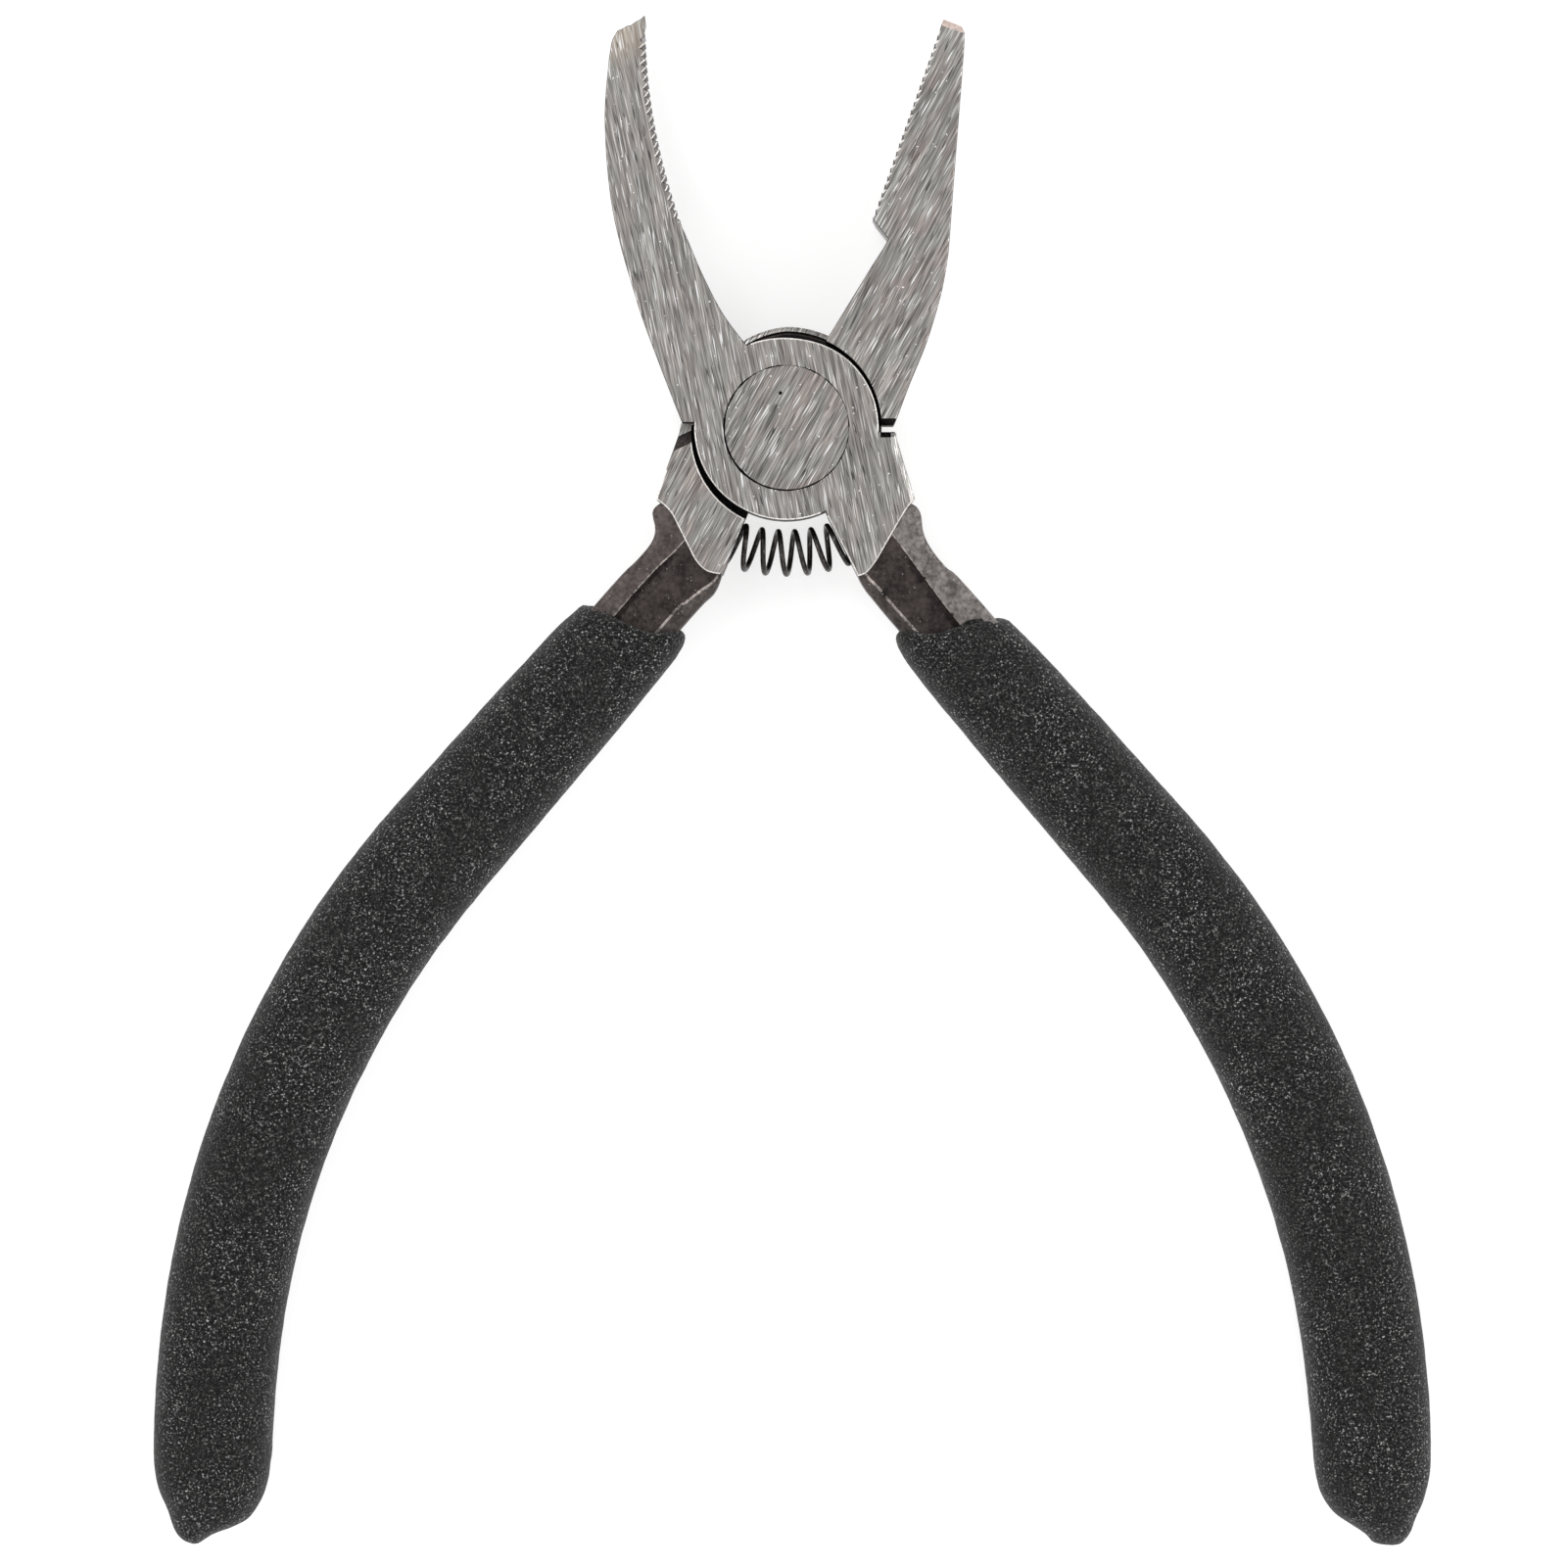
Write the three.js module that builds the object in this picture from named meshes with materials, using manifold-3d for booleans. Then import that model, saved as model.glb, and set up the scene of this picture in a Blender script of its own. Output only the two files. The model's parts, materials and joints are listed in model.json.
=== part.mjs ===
// Small steel pliers for nibbling glass: a hollow-curved jaw and a straight jaw, both serrated,
// on a lap joint with a large flush rivet, a coil return spring and foam-dipped handles.
//
// Lengths are millimetres and angles are degrees. The pliers lie flat and open, with the jaws
// towards +Y and +Z up. Everything is drawn about the pivot: its axis is x = y = 0, and the two
// halves lap on z = 0. The half with the curved jaw laps in front (+Z) and is called the front
// half. The half with the straight jaw laps behind it and is called the back half. At the end
// the whole is moved so that the origin is under the middle of its box, on the surface that the
// grips rest on.

import * as THREE from "three";
import { mergeVertices } from "three/addons/utils/BufferGeometryUtils.js";
import Module from "manifold-3d";

// Head
const HEAD_THICKNESS = 9.4;
const LAP_GAP = 0.1;
const DISC_RADIUS = 9.0;
const CROWN_RADIUS = 9.95; // the back disc's wider rim, between the jaws
const JAW_WALL_RADIUS = 9.45; // hollow of the straight jaw round the front disc
const SHOULDER_WALL_RADIUS = 9.5; // hollow of a shoulder round the other half's disc
const SHOULDER_WALL_DROP = 0.4; // how far below the pivot that hollow is centred
const CROWN_WALL_RADIUS = 10.2; // hollow of the curved jaw round the crown
const LEDGE_RELIEF = 2.0; // height up to which the curved jaw is cut away behind its ledge

// Rivet
const RIVET_HEAD_RADIUS = 6.1;
const RIVET_SHANK_RADIUS = 3.5;
const RIVET_FOOT_RADIUS = 4.6;
const RIVET_FOOT_HEIGHT = 1.1;
const RIVET_GAP = 0.05;

// Teeth
const TOOTH_COUNT = 22;
const TOOTH_DEPTH = 0.35;

// Handles. Each centre line leaves the pivot's height at an angle to -Y, runs straight and then
// follows an arc. x counts outwards from the pivot. The shoulder is the thick part beside the hub,
// and the neck is the thinner forging between it and the grip.
const BACK_HANDLE = {
  side: -1,
  start: -1.4,
  angle: 40.85,
  straight: 54.3,
  bend: 90.5,
  shoulder: [[8.7, -0.2], [10.2, 0.15], [11.0, -1.8], [12.7, -7.0]],
  neckOutside: [[13.3, -8.0], [12.85, -9.8], [13.2, -11.1], [14.6, -12.8]],
  mouth: { at: 24.5, slant: 17.5 },
  nose: { along: 125.5, across: 2.4, radius: 2.1 },
};
const FRONT_HANDLE = {
  side: 1,
  start: -1.0,
  angle: 41.05,
  straight: 54.3,
  bend: 92.6,
  shoulder: [[8.9, -0.7], [10.75, -0.9], [11.3, -3.0], [12.5, -6.9]],
  neckOutside: [[13.2, -8.4], [13.4, -10.1], [14.1, -11.7], [15.6, -13.6]],
  mouth: { at: 25.3, slant: 22 },
  nose: { along: 126.0, across: 1.8, radius: 2.3 },
};
const SHOULDER_FOOT = [[10.4, -10.0], [8.9, -12.8], [7.4, -14.0], [6.4, -14.4]];
const SHOULDER_INSIDE = [3.95, -8.7];
const NECK_ROOT = { x: 11.2, y: -6.2 };
const NECK_INSIDE = [[8.4, -17.3], [7.1, -16.1], [6.4, -14.4]];
const TANG_THICKNESS = 7.5;
const TANG_WIDTH = { from: 7.9, to: 6.0 };
const TANG_ALONG = { from: 23, to: 116, steps: 12 };

// Grips
const GRIP_WIDTH = 11.7;
const GRIP_DEPTH = 11.2;
const GRIP_ALONG = { from: 20, to: 121, steps: 24 };
const GRIP_SECTION_POINTS = 20;
const GRIP_SQUARENESS = 2.5; // exponent of the section's superellipse
const GRIP_DOME = 5.3;
const GRIP_TANG_GAP = 0.2;

// Spring. Its centre line is an arc between the shoulders, and runs straight on into their seats.
const SPRING_ARC_RADIUS = 16.15;
const SPRING_ARC_RISE = 4.0; // how far above the pivot the arc is centred
const SPRING_ARC_HALF_ANGLE = 18.8;
const SPRING_SEATED = 2.7;
const SPRING_COIL_RADIUS = 2.09;
const SPRING_WIRE_RADIUS = 0.27;
const SPRING_PITCH = 1.84;
const SPRING_STEPS_PER_TURN = 14;
const SEAT_RADIUS = 2.5;
const SEAT_DEPTH = 3.1;
const SEAT_LEAD_IN = 1.2;

const CIRCLE_SEGMENTS = 72;
const CUT = 20; // how far a cutting tool reaches past what it cuts

const radians = THREE.MathUtils.degToRad;
const wasm = await Module();
wasm.setup();

// Turns a closed geometry into a solid that can be cut and joined.
function solidOf(geometry) {
  const bare = geometry.clone();
  bare.deleteAttribute("normal");
  bare.deleteAttribute("uv");
  const merged = mergeVertices(bare, 1e-5);
  return new wasm.Manifold(new wasm.Mesh({
    numProp: 3,
    vertProperties: new Float32Array(merged.attributes.position.array),
    triVerts: new Uint32Array(merged.index.array),
  }));
}

// Turns a solid back into a named mesh.
function meshOf(name, solid, material) {
  const { vertProperties, triVerts } = solid.getMesh();
  const geometry = new THREE.BufferGeometry();
  geometry.setAttribute("position", new THREE.BufferAttribute(new Float32Array(vertProperties), 3));
  geometry.setIndex(new THREE.BufferAttribute(new Uint32Array(triVerts), 1));
  geometry.computeVertexNormals();
  const mesh = new THREE.Mesh(geometry, material);
  mesh.name = name;
  return mesh;
}

// An outline in the plane of the pliers, given thickness between two heights.
function plate(shape, low, high) {
  const geometry = new THREE.ExtrudeGeometry(shape, {
    depth: high - low,
    curveSegments: 5,
    bevelEnabled: false,
  });
  geometry.translate(0, 0, low);
  return solidOf(geometry);
}

// A round body on the pivot's axis, from one height and radius to another.
function cone(lowRadius, highRadius, low, high) {
  const geometry = new THREE.CylinderGeometry(highRadius, lowRadius, high - low, CIRCLE_SEGMENTS);
  geometry.rotateX(Math.PI / 2);
  geometry.translate(0, 0, (low + high) / 2);
  return solidOf(geometry);
}

function disc(radius, low, high) {
  return cone(radius, radius, low, high);
}

function block(lowX, highX, lowY, highY, lowZ, highZ) {
  const geometry = new THREE.BoxGeometry(highX - lowX, highY - lowY, highZ - lowZ);
  geometry.translate((lowX + highX) / 2, (lowY + highY) / 2, (lowZ + highZ) / 2);
  return solidOf(geometry);
}

// The half of a disc that lies above the pivot.
function upperDisc(radius, low, high) {
  return disc(radius, low, high).intersect(block(-CUT, CUT, 0, CUT, low, high));
}

function pointsOf(pairs) {
  return pairs.map(([x, y]) => new THREE.Vector2(x, y));
}

// Points given outwards from the pivot, placed on the side of their handle.
function sided(handle, pairs) {
  return pointsOf(pairs.map(([x, y]) => [handle.side * x, y]));
}

// Adds saw teeth along a curve to an outline, with their roots on the curve's right-hand side.
function addTeeth(shape, curve) {
  for (let tooth = 0; tooth < TOOTH_COUNT; tooth += 1) {
    const middle = (tooth + 0.5) / TOOTH_COUNT;
    const root = curve.getPoint(middle);
    const along = curve.getTangent(middle);
    shape.lineTo(root.x + along.y * TOOTH_DEPTH, root.y - along.x * TOOTH_DEPTH);
    const crest = curve.getPoint((tooth + 1) / TOOTH_COUNT);
    shape.lineTo(crest.x, crest.y);
  }
}

// The hollow-curved jaw: its ledge, up its outside, over its hooked tip, then down its teeth.
function curvedJawOutline() {
  const shape = new THREE.Shape();
  shape.moveTo(-2, 0.5);
  shape.lineTo(-10.2, 0.5);
  shape.splineThru(pointsOf([
    [-12.6, 6.7], [-14.8, 12.9], [-17.0, 21.3], [-17.75, 29.8], [-17.3, 37.2],
  ]));
  shape.lineTo(-16.4, 38.7);
  shape.lineTo(-14.7, 39.4);
  shape.lineTo(-13.85, 40.35);
  shape.lineTo(-13.8, 38.3);
  const bite = new THREE.QuadraticBezierCurve(
    new THREE.Vector2(-13.8, 38.3),
    new THREE.Vector2(-13.9, 30.2),
    new THREE.Vector2(-10.7, 20.3),
  );
  addTeeth(shape, bite);
  shape.splineThru(pointsOf([[-9.7, 18.6], [-8.3, 15.2], [-6.3, 11.3], [-4.1, 8.3]]));
  shape.lineTo(-2, 5);
  return shape;
}

// The straight jaw: from the hub up its throat and teeth, over its tip and down its outside.
function straightJawOutline() {
  const shape = new THREE.Shape();
  shape.moveTo(2, 0.6);
  shape.lineTo(2, 5);
  shape.lineTo(4.1, 8.9);
  shape.lineTo(8.4, 15.9);
  shape.quadraticCurveTo(10.3, 18.4, 9.4, 19.3);
  shape.lineTo(8.4, 20.5);
  const bite = new THREE.LineCurve(new THREE.Vector2(8.4, 20.5), new THREE.Vector2(14.8, 38.3));
  addTeeth(shape, bite);
  shape.lineTo(14.9, 40.1);
  shape.lineTo(17.2, 39.1);
  shape.lineTo(17.4, 38.0);
  shape.splineThru(pointsOf([[16.9, 32.0], [16.3, 25.0], [15.7, 18.0], [15.2, 12.8]]));
  shape.splineThru(pointsOf([[13.8, 8.6], [12.1, 4.4], [10.7, 0.6]]));
  return shape;
}

function shoulderOutline(handle) {
  const shape = new THREE.Shape();
  shape.moveTo(handle.side * 2, -4);
  sided(handle, handle.shoulder).forEach(({ x, y }) => shape.lineTo(x, y));
  shape.splineThru(sided(handle, SHOULDER_FOOT));
  const [inside] = sided(handle, [SHOULDER_INSIDE]);
  shape.lineTo(inside.x, inside.y);
  return shape;
}

// A point beside a handle's centre line: how far along from y = 0, and how far across outwards.
function besideHandle(handle, along, across) {
  const lean = radians(handle.angle);
  const straight = Math.min(along, handle.straight);
  const heading = lean - (along - straight) / handle.bend;
  const x = handle.start + Math.sin(lean) * straight
    + handle.bend * (Math.cos(heading) - Math.cos(lean)) + across * Math.cos(heading);
  const y = -Math.cos(lean) * straight
    + handle.bend * (Math.sin(heading) - Math.sin(lean)) + across * Math.sin(heading);
  return new THREE.Vector2(handle.side * x, y);
}

// One edge of the tang, from the neck to its end, grown outwards by a gap where one is given.
function tangEdge(handle, across, gap) {
  const { from, to, steps } = TANG_ALONG;
  const edgePoint = (along) => {
    const part = (along - from) / (to - from);
    const halfWidth = THREE.MathUtils.lerp(TANG_WIDTH.from, TANG_WIDTH.to, part) / 2 + gap;
    return besideHandle(handle, along, across * halfWidth);
  };
  const points = [edgePoint(from)];
  for (let step = 0; step <= steps; step += 1) {
    points.push(edgePoint(THREE.MathUtils.lerp(handle.straight, to + gap, step / steps)));
  }
  return points;
}

function neckAndTangOutline(handle) {
  const shape = new THREE.Shape();
  const [tangStart, ...outerEdge] = tangEdge(handle, 1, 0);
  const innerEdge = tangEdge(handle, -1, 0).reverse();
  const [bulge, ...waist] = sided(handle, handle.neckOutside);
  shape.moveTo(handle.side * NECK_ROOT.x, NECK_ROOT.y);
  shape.lineTo(bulge.x, bulge.y);
  shape.splineThru([...waist, tangStart]);
  [...outerEdge, ...innerEdge].forEach(({ x, y }) => shape.lineTo(x, y));
  shape.splineThru(sided(handle, NECK_INSIDE));
  return shape;
}

// The room that a grip leaves for its tang, open at the grip's mouth.
function tangRoom(handle) {
  const outline = [
    ...tangEdge(handle, 1, GRIP_TANG_GAP),
    ...tangEdge(handle, -1, GRIP_TANG_GAP).reverse(),
    besideHandle(handle, GRIP_ALONG.from - 2, -TANG_WIDTH.from / 2 - GRIP_TANG_GAP),
    besideHandle(handle, GRIP_ALONG.from - 2, TANG_WIDTH.from / 2 + GRIP_TANG_GAP),
  ];
  const half = TANG_THICKNESS / 2 + GRIP_TANG_GAP;
  return plate(new THREE.Shape(outline), -half, half);
}

class HandleLine extends THREE.Curve {
  constructor(handle) {
    super();
    this.handle = handle;
  }

  getPoint(t, target = new THREE.Vector3()) {
    const along = THREE.MathUtils.lerp(GRIP_ALONG.from, GRIP_ALONG.to, t);
    const { x, y } = besideHandle(this.handle, along, 0);
    return target.set(x, y, 0);
  }
}

function gripSection() {
  const points = [];
  for (let step = 0; step < GRIP_SECTION_POINTS; step += 1) {
    const turn = (2 * Math.PI * step) / GRIP_SECTION_POINTS;
    const rounded = (value) => Math.sign(value) * Math.abs(value) ** (2 / GRIP_SQUARENESS);
    points.push(new THREE.Vector2(
      (GRIP_DEPTH / 2) * rounded(Math.cos(turn)),
      (GRIP_WIDTH / 2) * rounded(Math.sin(turn)),
    ));
  }
  return new THREE.Shape(points);
}

function ball(center, width, length, depth) {
  const geometry = new THREE.SphereGeometry(1, GRIP_SECTION_POINTS, 10);
  geometry.scale(width, length, depth);
  geometry.translate(center.x, center.y, 0);
  return solidOf(geometry);
}

// What is trimmed off the start of a grip to leave its slanted mouth.
function mouthTrim(handle) {
  const { at, slant } = handle.mouth;
  const lean = GRIP_WIDTH * Math.tan(radians(slant));
  const outline = [
    besideHandle(handle, at + lean, GRIP_WIDTH),
    besideHandle(handle, at - CUT, GRIP_WIDTH),
    besideHandle(handle, at - CUT, -GRIP_WIDTH),
    besideHandle(handle, at - lean, -GRIP_WIDTH),
  ];
  return plate(new THREE.Shape(outline), -CUT, CUT);
}

// A dipped foam sleeve: one skin over the tang, domed at its end, with the nose left by the dip.
function grip(handle) {
  const sleeve = solidOf(new THREE.ExtrudeGeometry(gripSection(), {
    steps: GRIP_ALONG.steps,
    extrudePath: new HandleLine(handle),
  }));
  const dome = ball(
    besideHandle(handle, GRIP_ALONG.to, 0), GRIP_WIDTH / 2, GRIP_DOME, GRIP_DEPTH / 2,
  );
  const { along, across, radius } = handle.nose;
  const nose = ball(besideHandle(handle, along, across), radius, radius, radius);
  return sleeve.add(dome).add(nose).subtract(mouthTrim(handle)).subtract(tangRoom(handle));
}

// Where the spring's centre line is, how far along from its middle, and how far it has turned.
function springCentre(along) {
  const arcHalf = radians(SPRING_ARC_HALF_ANGLE) * SPRING_ARC_RADIUS;
  const onArc = THREE.MathUtils.clamp(along, -arcHalf, arcHalf);
  const turned = onArc / SPRING_ARC_RADIUS;
  const beyond = along - onArc;
  const x = SPRING_ARC_RADIUS * Math.sin(turned) + beyond * Math.cos(turned);
  const y = SPRING_ARC_RISE - SPRING_ARC_RADIUS * Math.cos(turned) + beyond * Math.sin(turned);
  return { x, y, turned, arcHalf };
}

class SpringWire extends THREE.Curve {
  constructor() {
    super();
    this.half = springCentre(0).arcHalf + SPRING_SEATED;
    this.arcLengthDivisions = 1200;
  }

  getPoint(t, target = new THREE.Vector3()) {
    const along = THREE.MathUtils.lerp(-this.half, this.half, t);
    const { x, y, turned } = springCentre(along);
    const coil = (2 * Math.PI * along) / SPRING_PITCH;
    const outwards = SPRING_COIL_RADIUS * Math.cos(coil);
    return target.set(
      x + outwards * Math.sin(turned),
      y - outwards * Math.cos(turned),
      -SPRING_COIL_RADIUS * Math.sin(coil),
    );
  }
}

function returnSpring() {
  const wire = new SpringWire();
  const section = new THREE.Shape().absarc(0, 0, SPRING_WIRE_RADIUS, 0, 2 * Math.PI);
  return solidOf(new THREE.ExtrudeGeometry(section, {
    curveSegments: 4,
    steps: Math.round((2 * wire.half / SPRING_PITCH) * SPRING_STEPS_PER_TURN),
    extrudePath: wire,
  }));
}

// The blind hole that holds one end of the spring, drilled into a shoulder's inner side.
function springSeat(handle) {
  const length = SEAT_LEAD_IN + SEAT_DEPTH;
  const mouth = springCentre(handle.side * springCentre(0).arcHalf);
  const geometry = new THREE.CylinderGeometry(SEAT_RADIUS, SEAT_RADIUS, length, 40);
  geometry.rotateZ(Math.PI / 2);
  geometry.translate(handle.side * (length / 2 - SEAT_LEAD_IN), 0, 0);
  geometry.rotateZ(mouth.turned);
  geometry.translate(mouth.x, mouth.y, 0);
  return solidOf(geometry);
}

// The rivet: a wide head in the front lap, a shank through the back lap and a peened foot. A gap
// makes it the hole that it sits in.
function rivet(gap) {
  const face = HEAD_THICKNESS / 2;
  const past = gap > 0 ? 1 : 0;
  const footTop = -face + RIVET_FOOT_HEIGHT;
  return disc(RIVET_HEAD_RADIUS + gap, -gap, face + past)
    .add(disc(RIVET_SHANK_RADIUS + gap, -face - past, face))
    .add(cone(RIVET_FOOT_RADIUS + gap, RIVET_SHANK_RADIUS + gap, -face, footTop));
}

// Everything of one half that is as thick as the head or the handle, before the lap is cut.
function roughHalf(handle, jawOutline) {
  const face = HEAD_THICKNESS / 2;
  const flank = TANG_THICKNESS / 2;
  return plate(jawOutline, -face, face)
    .add(plate(shoulderOutline(handle), -face, face))
    .add(plate(neckAndTangOutline(handle), -flank, flank));
}

function frontHalf() {
  const face = HEAD_THICKNESS / 2;
  const lap = LAP_GAP / 2;
  return roughHalf(FRONT_HANDLE, curvedJawOutline())
    .subtract(disc(SHOULDER_WALL_RADIUS, -CUT, lap))
    .subtract(upperDisc(CROWN_WALL_RADIUS, -CUT, lap))
    .subtract(block(-CUT, 0, -CUT, LEDGE_RELIEF, -CUT, lap))
    .add(disc(DISC_RADIUS, lap, face))
    .subtract(rivet(RIVET_GAP))
    .subtract(springSeat(FRONT_HANDLE));
}

function backHalf() {
  const face = HEAD_THICKNESS / 2;
  const lap = LAP_GAP / 2;
  const shoulderWall = disc(SHOULDER_WALL_RADIUS, -lap, CUT).translate([0, -SHOULDER_WALL_DROP, 0]);
  return roughHalf(BACK_HANDLE, straightJawOutline())
    .subtract(disc(JAW_WALL_RADIUS, -lap, CUT))
    .subtract(shoulderWall)
    .add(disc(DISC_RADIUS, -face, -lap))
    .add(upperDisc(CROWN_RADIUS, -face, -lap))
    .subtract(rivet(RIVET_GAP))
    .subtract(springSeat(BACK_HANDLE));
}

const steel = (color) => new THREE.MeshStandardMaterial({ color, roughness: 0.4, metalness: 0.9 });
const groundSteel = steel(0x96928e);
const rivetSteel = steel(0x9a9592);
const springSteel = steel(0x1c1b1b);
const foam = new THREE.MeshStandardMaterial({ color: 0x2c2b2b, roughness: 0.85, metalness: 0 });

const pliers = new THREE.Group();
pliers.add(
  meshOf("front_half", frontHalf(), groundSteel),
  meshOf("back_half", backHalf(), groundSteel),
  meshOf("pivot_rivet", rivet(0), rivetSteel),
  meshOf("return_spring", returnSpring(), springSteel),
  meshOf("front_grip", grip(FRONT_HANDLE), foam),
  meshOf("back_grip", grip(BACK_HANDLE), foam),
);

// Stand the pliers on their grips, with the origin under the middle of their box.
const bounds = new THREE.Box3().setFromObject(pliers);
const middle = bounds.getCenter(new THREE.Vector3());
pliers.position.set(-middle.x, -middle.y, -bounds.min.z);

export default pliers;
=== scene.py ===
"""Looks of small pliers for nibbling glass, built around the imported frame.

Lengths are millimetres about the pivot until a mesh is finished, and metres in the frame after
that. The pliers lie flat, jaws towards +Y, and +Z is up. The front half has the curved jaw and
laps over the back half, which has the straight jaw. A handle's points are given along its centre
line from the height of the pivot, and across it, outwards.
"""
import json
import logging
import math
from collections.abc import Callable, Collection, Iterable, Sequence
from dataclasses import dataclass
from enum import Enum, IntEnum
from functools import cache

import bmesh
import bpy
import numpy as np
from mathutils import Matrix, Vector, noise

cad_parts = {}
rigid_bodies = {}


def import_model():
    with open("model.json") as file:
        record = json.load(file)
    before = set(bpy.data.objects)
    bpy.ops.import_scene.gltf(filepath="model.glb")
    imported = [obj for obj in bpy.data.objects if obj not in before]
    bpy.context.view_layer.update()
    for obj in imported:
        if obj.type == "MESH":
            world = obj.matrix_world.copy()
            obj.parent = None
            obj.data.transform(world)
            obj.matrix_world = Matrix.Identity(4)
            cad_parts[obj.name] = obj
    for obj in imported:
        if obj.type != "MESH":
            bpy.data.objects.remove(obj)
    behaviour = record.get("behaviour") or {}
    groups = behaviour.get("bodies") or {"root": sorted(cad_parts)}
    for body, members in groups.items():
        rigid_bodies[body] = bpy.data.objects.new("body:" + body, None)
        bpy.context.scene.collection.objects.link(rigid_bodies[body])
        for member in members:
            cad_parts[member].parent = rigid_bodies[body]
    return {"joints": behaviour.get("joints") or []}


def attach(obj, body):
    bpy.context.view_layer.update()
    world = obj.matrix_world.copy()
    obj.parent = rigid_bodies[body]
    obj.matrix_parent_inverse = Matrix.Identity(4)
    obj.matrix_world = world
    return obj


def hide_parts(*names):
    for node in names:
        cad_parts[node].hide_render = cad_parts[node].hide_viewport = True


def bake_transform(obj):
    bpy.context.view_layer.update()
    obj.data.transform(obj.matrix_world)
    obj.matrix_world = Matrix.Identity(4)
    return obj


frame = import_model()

log = logging.getLogger("pliers")

Point2 = tuple[float, float]
Point3 = tuple[float, float, float]

METRE = 0.001  # a millimetre, in metres
PIVOT = Vector(frame["joints"][0]["pos_m"])
BACK_BODY = frame["joints"][0]["parent"]
FRONT_BODY = frame["joints"][0]["child"]
HALVINGS = 40  # of the gap in which an outline crosses a circle
FLAT = 0.9999  # how upright a face's normal is where the face counts as flat


class Body(Enum):
    """The two bodies: the back half, and the front half that turns on it."""

    BACK = BACK_BODY
    FRONT = FRONT_BODY


class Slot(Enum):
    """The record's material slots."""

    STEEL = "ground_steel"
    RIVET = "rivet_steel"
    SPRING = "spring_wire"
    FOAM = "dipped_foam"


class Fit(Enum):
    """How one closed mesh is fitted to another."""

    JOIN = "UNION"
    CUT = "DIFFERENCE"


class Blend(Enum):
    """How one colour is laid over another."""

    OVER = "MIX"
    TINT = "MULTIPLY"


class PlateFinish(IntEnum):
    """The numbers of a lapped plate's finishes."""

    GROUND = 0
    OXIDE = 1
    RUBBED = 2
    # painted highlight on broken edges
    WEB = 3
    # the dark web finish, on a plate painted shade on broken edges and painted shadow on tooth
    # walls
    SIDE = 4


class NeckFinish(IntEnum):
    """The numbers of a neck's finishes."""

    BAND = 0
    WEB = 1
    WORN = 2
    CHAMFER = 3


# ---------------------------------------------------------------- plane curves


def through(points: Sequence[Point2], steps: int = 8) -> list[Point2]:
    """Runs an even curve through points.

    Args:
        points: What the curve passes through, from its first to its last.
        steps: How many short lines stand for each stretch.

    Returns:
        The curve's points, with both ends.
    """
    made: list[Point2] = []
    last = len(points) - 1
    for index in range(last):
        before = points[max(index - 1, 0)]
        start, end = points[index], points[index + 1]
        after = points[min(index + 2, last)]
        for step in range(steps):
            t = step / steps
            made.append(tuple(
                0.5 * (2 * b + (c - a) * t + (2 * a - 5 * b + 4 * c - d) * t * t
                       + (3 * b - a - 3 * c + d) * t ** 3)
                for a, b, c, d in zip(before, start, end, after)
            ))
    return [*made, tuple(points[last])]


def bowed(start: Point2, control: Point2, end: Point2, t: float) -> Point2:
    """Gives the point at share t of a curve bowed towards its control point."""
    return tuple((1 - t) ** 2 * a + 2 * t * (1 - t) * b + t * t * c
                 for a, b, c in zip(start, control, end))


def arc(centre: Point2, radius: float, start: float, end: float) -> list[Point2]:
    """Runs round a circle between two angles, in steps of about three degrees.

    Args:
        centre: The circle's centre.
        radius: Its radius.
        start: The first angle in degrees, from +X.
        end: The last angle, less than start to run clockwise.

    Returns:
        The points between the two ends, without them.
    """
    count = max(2, round(abs(end - start) / 3))
    turns = [math.radians(start + (end - start) * step / count) for step in range(1, count)]
    return [(centre[0] + radius * math.cos(a), centre[1] + radius * math.sin(a)) for a in turns]


def angle_of(point: Point2, centre: Point2 = (0.0, 0.0)) -> float:
    """Gives the angle of a point about a centre, in degrees."""
    return math.degrees(math.atan2(point[1] - centre[1], point[0] - centre[0]))


def squared(value: float, power: float) -> float:
    """Draws a sine or a cosine towards a square's by a power below 1."""
    return math.copysign(abs(value) ** power, value)


def outside(radius: float, centre: Point2 = (0.0, 0.0)) -> Callable[[Point2], bool]:
    """Makes a test for points that lie outside a circle."""
    return lambda p: math.dist(p, centre) > radius


@dataclass(frozen=True)
class Track:
    """A line through points, measured by how far along it a place is."""

    points: tuple[Point2, ...]

    def at(self, place: float) -> Point2:
        """Gives the point at a place.

        Args:
            place: How far along it is, a whole number at each of the track's points.

        Returns:
            The point.
        """
        index = min(int(place), len(self.points) - 2)
        a, b = self.points[index], self.points[index + 1]
        t = place - index
        return (a[0] + (b[0] - a[0]) * t, a[1] + (b[1] - a[1]) * t)

    def kept(self, keep: Callable[[Point2], bool]) -> tuple[float, float]:
        """Finds the one stretch that passes a test.

        Args:
            keep: The test.

        Returns:
            The places where the stretch starts and ends.
        """
        inside = [index for index, point in enumerate(self.points) if keep(point)]
        low, high = float(inside[0]), float(inside[-1])
        if inside[0] > 0:
            low = self._crossing(inside[0] - 1.0, inside[0], keep)
        if inside[-1] < len(self.points) - 1:
            high = self._crossing(inside[-1] + 1.0, inside[-1], keep)
        return low, high

    def _crossing(self, out: float, into: float, keep: Callable[[Point2], bool]) -> float:
        """Halves the gap between a failing and a passing place until they meet.

        Args:
            out: A place that fails.
            into: A place next to it that passes.
            keep: The test.

        Returns:
            Where the test starts to pass.
        """
        for _ in range(HALVINGS):
            middle = (out + into) / 2
            out, into = (out, middle) if keep(self.at(middle)) else (middle, into)
        return into

    def part(self, low: float, high: float) -> list[Point2]:
        """Gives the points from one place to another, with both."""
        between = [p for i, p in enumerate(self.points) if low + 1e-6 < i < high - 1e-6]
        return [self.at(low), *between, self.at(high)]


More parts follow.
